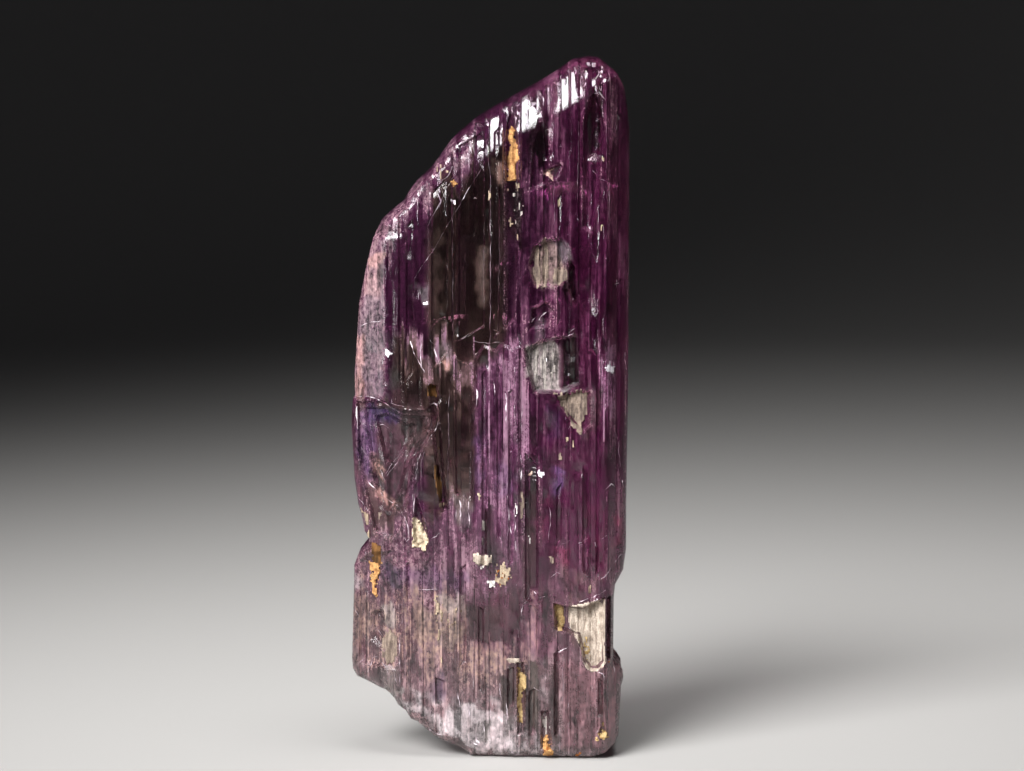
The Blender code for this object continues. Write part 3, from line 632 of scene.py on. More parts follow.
def node(tree, kind, inputs=(), **settings):
    made = tree.nodes.new(kind)
    for key, value in settings.items():
        setattr(made, key, value)
    for key, value in dict(inputs).items():
        if isinstance(value, bpy.types.NodeSocket):
            tree.links.new(value, made.inputs[key])
        else:
            made.inputs[key].default_value = value
    return made


def maths(tree, operation, first, second=0.0, third=0.0):
    made = node(tree, "ShaderNodeMath", {0: first, 1: second, 2: third}, operation=operation)
    return made.outputs[0]


def between(tree, value, low, high, newLow=0.0, newHigh=1.0):
    made = node(tree, "ShaderNodeMapRange", {
        "Value": value, "From Min": low, "From Max": high, "To Min": newLow, "To Max": newHigh,
    }, interpolation_type="SMOOTHSTEP")
    return made.outputs[0]


def mixed(tree, share, first, second):
    made = node(tree, "ShaderNodeMix", {0: share, 6: first, 7: second}, data_type="RGBA")
    return made.outputs[2]


def placeInMm(tree):
    metres = node(tree, "ShaderNodeTexCoord").outputs["Object"]
    return node(tree, "ShaderNodeVectorMath", {0: metres, 3: 1 / mm}, operation="SCALE").outputs[0]


def patterned(tree, place, scale, detail=3.0, rough=0.55):
    stretched = node(tree, "ShaderNodeMapping", {0: place, 3: scale}).outputs[0]
    made = node(tree, "ShaderNodeTexNoise", {
        "Vector": stretched, "Scale": 1.0, "Detail": detail, "Roughness": rough,
    })
    return made.outputs[0]


def painted(tree, name):
    return node(tree, "ShaderNodeAttribute", attribute_name=name).outputs["Fac"]


# how the surface changes over the front, drawn in mm as (x, z) corners. soft is how
# wide an edge fades. etched is how much of it is frosted, in streaks or mottled; smoky
# is a clear window; haze is milky; warm is stained tan; lilac brightens the frost
skinZones = {
    "upper right": ([(3.2, 75.5), (15.2, 75.5), (15.2, 44.0), (3.2, 44.0)], 1.2,
                    {"etched": 0.26, "haze": 0.07}),
    "upper left": ([(-11.2, 44.4), (-11.0, 57.0), (-5.0, 62.0), (-5.6, 45.0)], 0.5,
                   {"etched": 0.04, "mottled": 0.7, "haze": 0.03, "lilac": 0.0}),
    "under the tip": ([(-13.0, 57.5), (-1.0, 69.5), (-1.5, 65.5), (-6.0, 60.5), (-9.0, 55.0),
                       (-11.0, 53.5)], 1.0, {"etched": 0.62, "mottled": 1.0, "haze": 0.08}),
    "upper window": ([(-6.4, 44.5), (-6.4, 58.0), (-3.9, 62.0), (0.2, 66.0), (1.6, 66.8), (1.6, 46.0),
                      (-1.0, 44.2)], 0.5, {"smoky": 1.0, "etched": 0.08, "haze": 0.0}),
    "left bevel": ([(-15.4, 38.6), (-11.0, 38.9), (-11.0, 56.5), (-12.4, 58.0), (-15.4, 50.0)], 0.12,
                   {"etched": 0.75, "mottled": 0.8, "haze": 0.42}),
    "left dusk": ([(-10.2, 44.4), (-1.6, 44.4), (-1.6, 28.6), (-6.6, 26.4), (-6.9, 38.6),
                   (-10.2, 38.8)], 0.4, {"smoky": 0.9, "etched": 0.14, "haze": 0.02}),
    "bright band": ([(-9.6, 44.7), (-6.8, 44.9), (-4.0, 44.2), (3.4, 44.6), (3.4, 40.8), (-3.0, 41.6),
                     (-7.4, 41.8)], 0.5, {"etched": 0.68, "lilac": 1.0, "mottled": 0.4}),
    "right middle": ([(4.4, 44.0), (15.2, 44.0), (15.2, 18.0), (4.4, 17.4)], 0.9,
                     {"etched": 0.32, "mottled": 0.35, "haze": 0.06}),
    "right edge": ([(12.4, 72.0), (15.2, 72.0), (15.2, 19.0), (12.4, 19.0)], 0.25,
                   {"etched": 0.5}),
    "bright ribs": ([(11.6, 43.6), (13.6, 44.6), (13.6, 36.5), (11.9, 37.0)], 0.3,
                    {"etched": 0.75, "lilac": 1.0}),
    "ridged middle": ([(-1.4, 44.2), (3.5, 44.4), (4.4, 40.0), (4.4, 20.0), (-1.4, 19.0)], 0.35,
                      {"etched": 0.6, "lilac": 0.8, "haze": 0.06}),
    "shell break": ([(-14.3, 38.5), (-6.0, 38.6), (-5.3, 37.2), (-8.0, 29.5), (-9.2, 25.0), (-12.6, 24.2),
                     (-13.6, 30.0)], 0.3, {"etched": 0.04, "mottled": 1.0, "smoky": 0.6}),
    "left edge": ([(-15.4, 38.5), (-13.4, 38.5), (-13.0, 31.0), (-12.2, 23.4), (-15.4, 23.0)], 0.4,
                  {"etched": 0.42, "mottled": 0.8}),
    "pale streaks": ([(-5.6, 30.4), (-1.6, 29.0), (-0.8, 17.0), (-5.8, 17.0)], 0.8,
                     {"etched": 0.6, "lilac": 0.35, "haze": 0.12}),
    "lower left": ([(-15.4, 24.0), (-8.5, 26.0), (-5.4, 22.0), (-5.4, 16.0), (-15.4, 16.0)], 0.9,
                   {"etched": 0.6, "mottled": 0.85, "haze": 0.18}),
    "tan band": ([(-15.4, 17.6), (-6.0, 17.2), (3.4, 17.4), (6.6, 15.0), (5.0, 9.0), (-15.4, 8.6)], 0.9,
                 {"etched": 0.74, "mottled": 0.35, "haze": 0.24, "warm": 0.75}),
    "foot": ([(-15.4, 9.6), (5.6, 10.0), (15.4, 9.0), (15.4, -1.0), (-15.4, -1.0)], 1.6,
             {"etched": 0.62, "mottled": 0.35, "haze": 0.34, "warm": 0.12}),
    "dusty right": ([(4.4, 17.8), (7.0, 17.0), (9.6, 13.0), (13.4, 9.4), (13.8, 3.0), (5.6, 3.0)], 0.8,
                    {"etched": 0.5, "haze": 0.2, "mottled": 0.4}),
}
# windows given painted shade, standing in for the black seen through clear crystal: soft, how dark, corners
# in pixels
paintedShadeWindows = [
    (0.25, 0.55, "439.4,400 450,400 450,492 445,520 440,500 436,440"),
    (0.3, 0.35, "451,404 475,402 474,484 452,482"),
    (0.2, 0.7, "483.5,492 491,492 491,548 484.5,548"),
    (0.2, 0.6, "530,420 535.5,420 535.5,464 530,464"),
    (0.2, 0.85, "524.4,473 537,473 537,521 525,526"),
    (0.25, 0.6, "521.8,528 538,526 539,592 523,592"),
    (0.2, 0.9, "560.5,335.8 575.9,329.2 576,353 578.3,381.3 570.5,386.7 559.2,382 559.9,364.8 "
               "559.8,347.1"),
    (0.2, 0.75, "564.6,259.8 570.5,256.2 572.9,273.9 571.7,284.6 576.4,291.6 575.2,301 571.7,303.4 "
                "565.8,295.2 562,282.2 565.8,272.8"),
    (0.2, 0.6, "467,590 499,590 500,628 470,626"),
    (0.3, 0.4, "500,592 522,596 522,628 502,630"),
    (0.2, 0.95, "499.6,663 515,663 515,701 501,699"),
    (0.15, 0.95, "508.6,706 515,706 515,727 509,727"),
    (0.2, 0.85, "528,664 539,664 538.6,732 527.6,732"),
    (0.2, 0.6, "551,656 557.6,656 557.6,733 551.6,733"),
    (0.2, 0.75, "598.6,686 603.6,686 603.6,712 599.4,712"),
    (0.15, 0.85, "484,706 490,706 489.6,726 484.6,726"),
    (0.2, 0.6, "440,403 434,430 431,470 436,520 441,520 438,480 440,440"),
    (0.3, 0.5, "403,412 428,412 424,440 418,456 405,450 398,430"),
    (0.3, 0.45, "402,376 428,378 428,398 404,402"),
    (0.15, 0.7, "555.8,495 561,495 561,530 556.4,530"),
    (0.15, 0.55, "581,486 586.6,486 586.6,520 582,520"),
    (0.3, 0.55, "369,628 379,628 379,653 370,653"),
    (0.2, 0.55, "371,662 381,662 380,677 371,677"),
    (0.2, 0.5, "527,124 538,118 548,126 547,160 536,164 528,160"),
    (0.2, 0.5, "588,96 594,91 600,102 600,140 590,150 584,120"),
    (0.2, 0.6, "508,182 523,182 522,240 510,240"),
    (0.12, 0.8, "596.6,118 598.6,118 598.8,137 596.8,137"),
    (0.2, 0.5, "604,296 612,298 612,316 604,314"),
    (0.15, 0.85, "607,590 611,586 610,610 607,640"),
    (0.15, 0.5, "455,636 458,636 458,666 455.6,664"),
    (0.15, 0.85, "418,668 422,668 421,676 417,678"),
    (0.2, 0.4, "541,588 551,590 553,632 543,632"),
]
# tints below the surface; the near-black ones are painted shade and the palest partly painted sheen: name,
# strength, soft, ragged, corners in pixels
skinWashes = [
    # painted shade: the near-black washes darken the break and windows of the foot
    ("duskShade", 0.92, 0.3, 0.4, "362,400 428,404 424,470 404,500 372,490 356,450"),
    # the pale washes are partly frost and partly painted sheen and glints
    ("frostAndSheen", 0.75, 0.5, 1.2, "405,700 440,728 470,744 500,755 575,753 604,749 600,741 560,742 520,738 "
                               "486,728 450,712 420,694"),
    ("frostAndSheen", 0.8, 0.15, 0.4, "543,655 550,655 548.6,700 541.6,700"),
    ("frostAndSheen", 0.7, 0.2, 0.6, "494,688 501,688 503,730 496,736"),
    ("frostAndSheen", 0.6, 0.3, 0.8, "462,690 476,694 474,716 460,712"),
    ("frostAndSheen", 0.7, 0.15, 0.4, "560,652 563.6,652 562,742 559,742"),
    ("frostAndSheen", 0.5, 0.5, 0.8, "352,652 362,650 366,672 398,690 404,700 372,690 352,682"),
    ("frostAndSheen", 0.5, 0.3, 0.8, "434,590 464,592 462,606 440,608"),
    ("frostAndSheen", 0.5, 0.4, 1.0, "402,684 440,692 480,698 522,710 540,738 486,728 450,712 420,698"),
    ("frostAndSheen", 0.5, 0.25, 0.5, "455,488 470,486 474,500 472,520 461,524 453,508"),
    ("ashy", 0.5, 0.15, 0.3, "517,462 523,461 525,492 530,526 523,530 517,498"),
    ("plum", 0.95, 0.1, 0.3, "546,180 576,180 577,192 546,192"),
    ("frostAndSheen", 0.7, 0.4, 0.8, "436,710 452,704 470,699 492,701 500,718 520,730 521,756 500,755 470,744 "
                              "440,728"),
    ("duskShade", 0.7, 0.15, 0.4, "525,656 540,656 541,738 525,736"),
    ("frostAndSheen", 0.6, 0.2, 0.3, "353.6,570 361,572 361,590 354,590"),
    ("amethyst", 0.7, 0.6, 0.6, "506,600 552,592 556,640 540,654 512,646"),
    ("pewter", 0.6, 0.15, 0.3, "372,262 388,254 383,372 360,380 357,330"),
    ("plum", 0.85, 0.8, 0.8, "466,586 556,590 556,650 520,652 480,650 462,630"),
    ("plum", 0.5, 0.8, 0.8, "392,230 440,226 440,330 392,334"),
    ("rose", 0.85, 0.8, 0.6, "556,652 622,660 626,742 600,748 560,748"),
    ("plum", 0.6, 0.5, 0.5, "545,440 620,430 624,560 600,580 545,570"),
    ("grey", 0.75, 0.12, 0.2, "421.7,283.4 431.1,282.2 430.5,296.3 428.8,303.4 424,301 421.1,292.8"),
    ("grey", 0.85, 0.12, 0.2, "554,237.4 565.8,238.5 570.5,244.4 570.5,256.2 564.6,261 558.7,258.6 "
                              "552,256.2"),
    ("grey", 0.6, 0.15, 0.25, "532,316 541,312 546,318 545,335 533,336"),
    ("grey", 0.6, 0.15, 0.25, "438,338 453,338 452,354 446,353 440,350"),
    ("grey", 0.5, 0.3, 0.3, "477,246 487,246 486.4,306 479,300"),
    ("crimson", 0.5, 0.6, 0.5, "536,490 546,492 548,530 540,545 536,530"),
    ("crimson", 0.75, 0.4, 0.5, "555.5,540 568,541 569,556 556,558"),
    ("crimson", 0.8, 0.4, 0.4, "614.8,512 623.6,512 623.6,541 616,540"),
    ("crimson", 0.4, 1.0, 1.0, "592,500 600,500 606,560 596,570 590,540"),
    ("crimson", 0.4, 0.8, 1.0, "604,135 622,130 623,230 600,225"),
    ("crimson", 0.5, 0.5, 0.5, "607,250 616,252 616,345 609,345"),
    ("salmon", 0.85, 0.1, 0.35, "375,250.3 388,251 385.6,259.6 371,270 368.6,268 372,258.6"),
    ("salmon", 0.5, 0.3, 0.5, "366,270 384,262 380,290 364,292"),
    ("salmon", 0.85, 0.15, 0.4, "356,335 367,334 366,352 364,372 368,394 355,398"),
    ("salmon", 0.85, 0.1, 0.3, "368.6,452 375,452 383,464 386.6,478 381,478 372,463"),
    ("salmon", 0.7, 0.1, 0.3, "366,478 372,478 385,489 401,503 398,506 380,497 369,487"),
    ("salmon", 0.5, 0.3, 0.5, "355.6,462 361,461 363,496 357,500"),
    ("salmon", 0.8, 0.12, 0.2, "440.6,355.3 446.5,353 453.5,360 452.4,366 445.3,365.8"),
    ("salmon", 0.5, 0.3, 0.4, "497,160 506,160 506,181 498,181"),
    ("salmon", 0.5, 0.3, 0.4, "368,538 380,538 384,560 374,562"),
    ("violet", 0.85, 0.15, 0.2, "556.1,460.6 565.8,465.5 562.7,478.8 554.2,494.5 550.6,487.3 "
                                "555.5,477.6"),
    ("violet", 0.6, 0.5, 0.6, "473,428 484,428 484,490 474,486"),
    ("violet", 0.5, 0.4, 0.5, "497,456 513,456 512,490 498,490"),
    ("violet", 0.3, 0.5, 0.6, "356,404 372,404 376,440 372,500 358,470"),
    ("violet", 0.55, 0.4, 0.3, "546,400 562,404 562,432 548,434"),
    ("violet", 0.5, 0.6, 0.6, "382,560 470,566 468,586 384,586"),
    ("indigoShade", 0.9, 0.2, 0.3, "386,560 396,560 398,582 391,582"),
    ("indigoShade", 0.85, 0.3, 0.4, "439.4,667.3 447.6,668.9 447,694.5 437,695.7 433,692 431,680"),
    ("indigoShade", 0.95, 0.3, 0.4, "370,399 400,406 404,418 372,420"),
    ("indigoShade", 0.7, 0.3, 0.3, "366,376 386,366 386,392 368,394"),
    ("brown", 0.85, 0.25, 0.4, "414.6,599 432.3,599 434.7,609.5 433.5,635.5 415.8,637.9 413.4,619"),
    ("brown", 0.6, 0.3, 0.4, "429,640 437,636 436,676 428,676"),
    ("brown", 0.6, 0.5, 0.6, "353,592 371,592 371,626 366,640 353,640"),
    ("rose", 0.6, 0.6, 0.5, "352,640 370,640 368,664 374,686 352,680"),
    ("rose", 0.6, 0.2, 0.3, "543,660 552,660 551,708 543,708"),
    ("brown", 0.5, 0.5, 0.5, "584,384 600,384 600,430 585,430"),
    ("brown", 0.55, 0.5, 0.5, "566,590 577,590 578,640 568,632"),
    ("brown", 0.4, 0.6, 0.6, "560,560 600,570 600,590 562,594"),
    ("sage", 0.7, 0.2, 0.4, "382,600 398,600 398,626 384,626"),
    ("sage", 0.6, 0.3, 0.5, "380,664 399,664 401,696 384,690"),
    ("ashy", 0.95, 0.1, 0.25, "524,341 533,337 545,336.4 556,336 560,343 559,354 561,368 560,385 549,388 "
                              "536,384 529,373 524.6,362"),
    ("barky", 0.9, 0.12, 0.4, "532,254 538,243 545,235 554,237 557,246 560,257 566,264 567,275 559,281 "
                              "545,283 534,281 531,266"),
    ("tan", 0.5, 0.4, 0.6, "436,590 466,590 466,628 448,650 436,640"),
]
washLooks = {                       # colour, how cloudy
    "crimson": ((0.34, 0.03, 0.10), 0.3),
    "salmon": ((0.62, 0.33, 0.29), 0.75),
    "violet": ((0.25, 0.12, 0.36), 0.35),
    # near-black, painted shade
    "indigoShade": ((0.04, 0.02, 0.07), 0.6),
    "plum": ((0.15, 0.035, 0.08), 0.25),
    "brown": ((0.34, 0.22, 0.17), 0.6),
    "rose": ((0.26, 0.10, 0.125), 0.35),
    "sage": ((0.50, 0.47, 0.42), 0.4),
    "tan": ((0.60, 0.50, 0.38), 0.55),
    "grey": ((0.30, 0.26, 0.28), 0.5),
    "pewter": ((0.25, 0.20, 0.245), 0.6),
    # near-black, painted shade
    "duskShade": ((0.045, 0.014, 0.028), 0.7),
    "ashy": ((0.36, 0.32, 0.30), 0.85),
    "barky": ((0.27, 0.20, 0.165), 0.85),
    # pale: partly frost, partly painted sheen
    "frostAndSheen": ((0.82, 0.72, 0.74), 0.6),
    "amethyst": ((0.22, 0.06, 0.16), 0.3),
}


def paintSkin(made):
    points = meshPoints(made)
    flat = points[:, [0, 2]]
    inFront = smoothStep(1.5, -1.5, points[:, 1])
    # every strip ends at its own height
    place, _ = stripPlace(flat[:, 0], np.zeros(len(flat)), frontFace.edges, 1.0)
    staggered = flat + np.column_stack([np.zeros(len(flat)), 4.5 * wander(place, (1, 1, 1), 83)])
    staggered += 0.35 * np.column_stack([flatWander(flat, 0.9, 1.6, 85), flatWander(flat, 0.9, 1.6, 87)])
    # before any zone, and all over the back: clear above, etched and milky below
    low = smoothStep(30.0, 6.0, flat[:, 1] + 5 * flatWander(flat, 6.0, 9.0, 41))
    patchy = flatWander(flat, 3.0, 14.0, 47)
    value = {
        "etched": 0.16 + 0.44 * low + 0.3 * np.clip(patchy, 0, 1),
        "mottled": 0.35 + 0.2 * low,
        "smoky": smoothStep(0.15, 0.4, flatWander(flat, 4.0, 22.0, 53)) * (1 - low),
        "haze": 0.05 + 0.26 * low,
        "warm": 0.35 * low * smoothStep(0.0, 0.5, patchy),
        "lilac": smoothStep(-0.1, 0.4, flatWander(flat, 5.0, 12.0, 59)),
    }
    for name in ("smoky", "lilac"):
        value[name] = value[name] * (1 - inFront)
    for zone, (corners, soft, changes) in skinZones.items():
        if "smoky" in changes:      # the dark shows only where the back is clear too
            behind = smoothStep(-soft, soft, depthInLoop(corners, flat)) * (1 - inFront)
            value["smoky"] = np.maximum(value["smoky"], behind * changes["smoky"])
            value["etched"] = value["etched"] * (1 - 0.8 * behind)
        where = flat if "bevel" in zone else staggered
        share = smoothStep(-soft, soft, depthInLoop(corners, where)) * inFront
        for name, target in changes.items():
            value[name] = value[name] + share * (target - value[name])
    tone = np.where(points[:, 1] < 0, stripTone(flat[:, 0], flat[:, 1], frontFace.edges, 61),
                    stripTone(flat[:, 0], flat[:, 1], backFace.edges, 67))
    value["tone"] = tone
    value["dark"] = np.zeros(len(points))
    # painted shade: each window pulls the surface colour towards near-black, though the crystal there is
    # clear
    for soft, dark, pixels in paintedShadeWindows:
        corners = inMillimetres(pixels)
        where = flat + (staggered - flat) * 0.6
        share = smoothStep(-soft, soft, depthInLoop(corners, where)) * (0.75 + 0.4 * tone) * inFront
        value["dark"] = value["dark"] + share * (dark - value["dark"])
        behind = smoothStep(-2 * soft, 2 * soft, depthInLoop(corners, flat)) * (1 - inFront)
        value["smoky"] = np.maximum(value["smoky"], behind)
        for name in ("etched", "lilac", "warm"):
            value[name] = value[name] * (1 - 0.8 * share)
        # at the foot the windows are made cloudy too, so that their painted shade shows
        murky = 0.3 * smoothStep(24.0, 14.0, flat[:, 1])
        value["haze"] = value["haze"] + share * (murky - value["haze"])
    tint = np.zeros((len(points), 4))
    for name, strength, soft, rough, pixels in skinWashes:
        colour, cloudy = washLooks[name]
        wobble = rough * 1.6 * flatWander(flat, 0.6, 1.2, 71)
        corners = inMillimetres(pixels)
        share = strength * smoothStep(-soft, soft, depthInLoop(corners, flat) + wobble) * inFront
        tint[:, :3] += share[:, None] * (np.array(colour) - tint[:, :3])
        tint[:, 3] += share * (1 - tint[:, 3])
        value["haze"] = value["haze"] + share * (cloudy - value["haze"])
    layer = made.data.attributes.new("tint", "FLOAT_COLOR", "POINT")
    layer.data.foreach_set("color", tint.ravel().astype(np.float32))
    # the lips of the hollows are chipped, and catch the light
    lip = np.full(len(points), 9.0)
    for corners, depth, width in frontFace.cuts:
        if depth > 0.42:
            lip = np.minimum(lip, nearestEdge(corners, flat)[0] + 9 * (1 - inFront))
    value["lip"] = smoothStep(0.3, 0.05, lip)
    for name, values in value.items():
        paintPoints(made, name, values)


crystalLook = {
    "ior": 1.66,
    "paleFoot": (0.30, 0.205, 0.21, 1),
    "mauve": (0.22, 0.09, 0.13, 1),
    "plum": (0.215, 0.04, 0.15, 1),
    "deepTip": (0.23, 0.045, 0.17, 1),
    "magenta": (0.29, 0.028, 0.17, 1),
    # near-black, the painted shade of the windows
    "smoky": (0.47, 0.32, 0.24, 1),
    "paintedShadeColour": (0.07, 0.055, 0.045, 1),
    "frost": (0.29, 0.175, 0.195, 1),
    "lilac": (0.30, 0.15, 0.235, 1),
    "tan": (0.38, 0.245, 0.175, 1),
    "absorption": (0.66, 0.42, 0.58, 1),
    "absorptionDensity": 30.0,
}


def crystalMaterial():
    look = crystalLook
    material, tree = newMaterial("kunzite")
    place = placeInMm(tree)
    spot = node(tree, "ShaderNodeSeparateXYZ", {0: place})

    # upright streaks, mottling, and slow clouds, each about 0 to 1
    streak = patterned(tree, place, (4.2, 4.2, 0.22), 4.0, 0.62)
    hair = patterned(tree, place, (10.0, 10.0, 0.35), 2.0, 0.5)
    mottle = patterned(tree, place, (2.6, 2.6, 1.9), 6.0, 0.68)
    fleck = patterned(tree, place, (7.0, 7.0, 4.5), 3.0, 0.6)
    cloud = patterned(tree, place, (0.22, 0.22, 0.12), 3.0, 0.5)
    veil = patterned(tree, place, (0.9, 0.9, 0.35), 4.0, 0.6)

    tone = maths(tree, "MULTIPLY_ADD", maths(tree, "SUBTRACT", painted(tree, "tone"), 0.5), 0.5, 0.5)
    streaky = maths(tree, "MULTIPLY_ADD", tone, 0.5,
                    maths(tree, "MULTIPLY_ADD", streak, 0.3, maths(tree, "MULTIPLY", hair, 0.2)))
    mottled = maths(tree, "MULTIPLY_ADD", mottle, 0.5,
                    maths(tree, "MULTIPLY_ADD", fleck, 0.25, maths(tree, "MULTIPLY", streak, 0.25)))
    pattern = node(tree, "ShaderNodeMix", {
        0: painted(tree, "mottled"), 2: streaky, 3: mottled}).outputs[0]
    lip = maths(tree, "MULTIPLY", painted(tree, "lip"), between(tree, fleck, 0.5, 0.62))
    etched = maths(tree, "MULTIPLY_ADD", lip, 0.4, painted(tree, "etched"))
    # the more a place is etched, the more of the pattern stands above the level
    level = maths(tree, "MULTIPLY_ADD", etched, -0.3, 0.66)
    over = maths(tree, "SUBTRACT", pattern, level)
    crisp = maths(tree, "MULTIPLY_ADD", painted(tree, "mottled"), -0.35, 0.35)
    frost = node(tree, "ShaderNodeMix", {
        0: crisp, 2: between(tree, over, -0.15, 0.16), 3: between(tree, over, 0.02, 0.08)}).outputs[0]
    frost = maths(tree, "MULTIPLY", frost, between(tree, etched, 0.0, 0.25))

    height = maths(tree, "MULTIPLY_ADD", maths(tree, "SUBTRACT", cloud, 0.5), 18.0, spot.outputs[2])
    ramp = node(tree, "ShaderNodeValToRGB", {0: maths(tree, "DIVIDE", height, crystalShape["height"])})
    stops = ramp.color_ramp.elements
    stops[0].position, stops[0].color = 0.03, look["paleFoot"]
    stops[1].position, stops[1].color = 0.92, look["deepTip"]
    for position, name in ((0.17, "mauve"), (0.36, "plum")):
        stops.new(position).color = look[name]
    toRight = between(tree, spot.outputs[0], 2.0, 11.0)
    above = between(tree, spot.outputs[2], 14.0, 24.0)
    body = mixed(tree, maths(tree, "MULTIPLY", toRight, above), ramp.outputs[0], look["magenta"])
    smoky = painted(tree, "smoky")
    body = mixed(tree, maths(tree, "MULTIPLY", smoky, 0.8), body, look["smoky"])
    frostColour = mixed(tree, painted(tree, "lilac"), look["frost"], look["lilac"])
    warm = maths(tree, "MULTIPLY", painted(tree, "warm"), between(tree, mottle, 0.4, 0.6))
    frostColour = mixed(tree, warm, frostColour, look["tan"])
    body = mixed(tree, frost, body, frostColour)
    # the tints carry near-black painted shade and pale, partly painted sheen
    tint = node(tree, "ShaderNodeAttribute", attribute_name="tint")
    tinted = maths(tree, "MULTIPLY", tint.outputs["Alpha"], maths(tree, "MULTIPLY_ADD", frost, -0.45, 1.0))
    body = mixed(tree, tinted, body, tint.outputs["Color"])
    # painted shade in the windows: the colour is pulled towards near-black
    dark = painted(tree, "dark")
    body = mixed(tree, maths(tree, "MULTIPLY", dark, 0.9), body, look["paintedShadeColour"])
    shade = maths(tree, "MULTIPLY_ADD", maths(tree, "ADD", mottle, veil), 1.6, -0.8)
    shade = maths(tree, "MULTIPLY_ADD", maths(tree, "SUBTRACT", streaky, 0.5), 1.2, shade)
    cloudier = maths(tree, "MULTIPLY_ADD", painted(tree, "haze"), 1.6, 1.0)
    shade = maths(tree, "MULTIPLY_ADD", maths(tree, "SUBTRACT", shade, 0.85), cloudier, 0.85)
    shade = maths(tree, "MAXIMUM", shade, 0.15)
    body = node(tree, "ShaderNodeVectorMath", {0: body, 3: shade}, operation="SCALE").outputs[0]

    rough = maths(tree, "MULTIPLY_ADD", frost, 0.3, 0.045)
    rough = maths(tree, "MULTIPLY_ADD", tint.outputs["Alpha"], 0.16, rough)
    cloudy = maths(tree, "MAXIMUM", maths(tree, "MULTIPLY", frost, 0.78), painted(tree, "haze"))
    clear = node(tree, "ShaderNodeMath", {0: 1.0, 1: cloudy}, operation="SUBTRACT", use_clamp=True)

    relief = maths(tree, "MULTIPLY_ADD", pattern, 0.8, maths(tree, "MULTIPLY", hair, 0.3))
    bump = node(tree, "ShaderNodeBump", {"Strength": 0.5, "Distance": 0.00012, "Height": relief})
    shader = node(tree, "ShaderNodeBsdfPrincipled", {
        "Base Color": body, "Roughness": rough, "IOR": look["ior"],
        "Transmission Weight": clear.outputs[0], "Normal": bump.outputs[0],
    })
    inner = node(tree, "ShaderNodeVolumeAbsorption", {
        "Color": look["absorption"], "Density": look["absorptionDensity"],
    })
    node(tree, "ShaderNodeOutputMaterial", {
        "Surface": shader.outputs[0], "Volume": inner.outputs[0],
    })
    return material


paintSkin(skin)
skin.data.materials.append(crystalMaterial())
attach(skin, "root")
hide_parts(nodeName)
print("kunzite: skin painted")


# nothing on the front stands out past the solid's own box
foremost = cadBox[0][1] / mm + 0.01
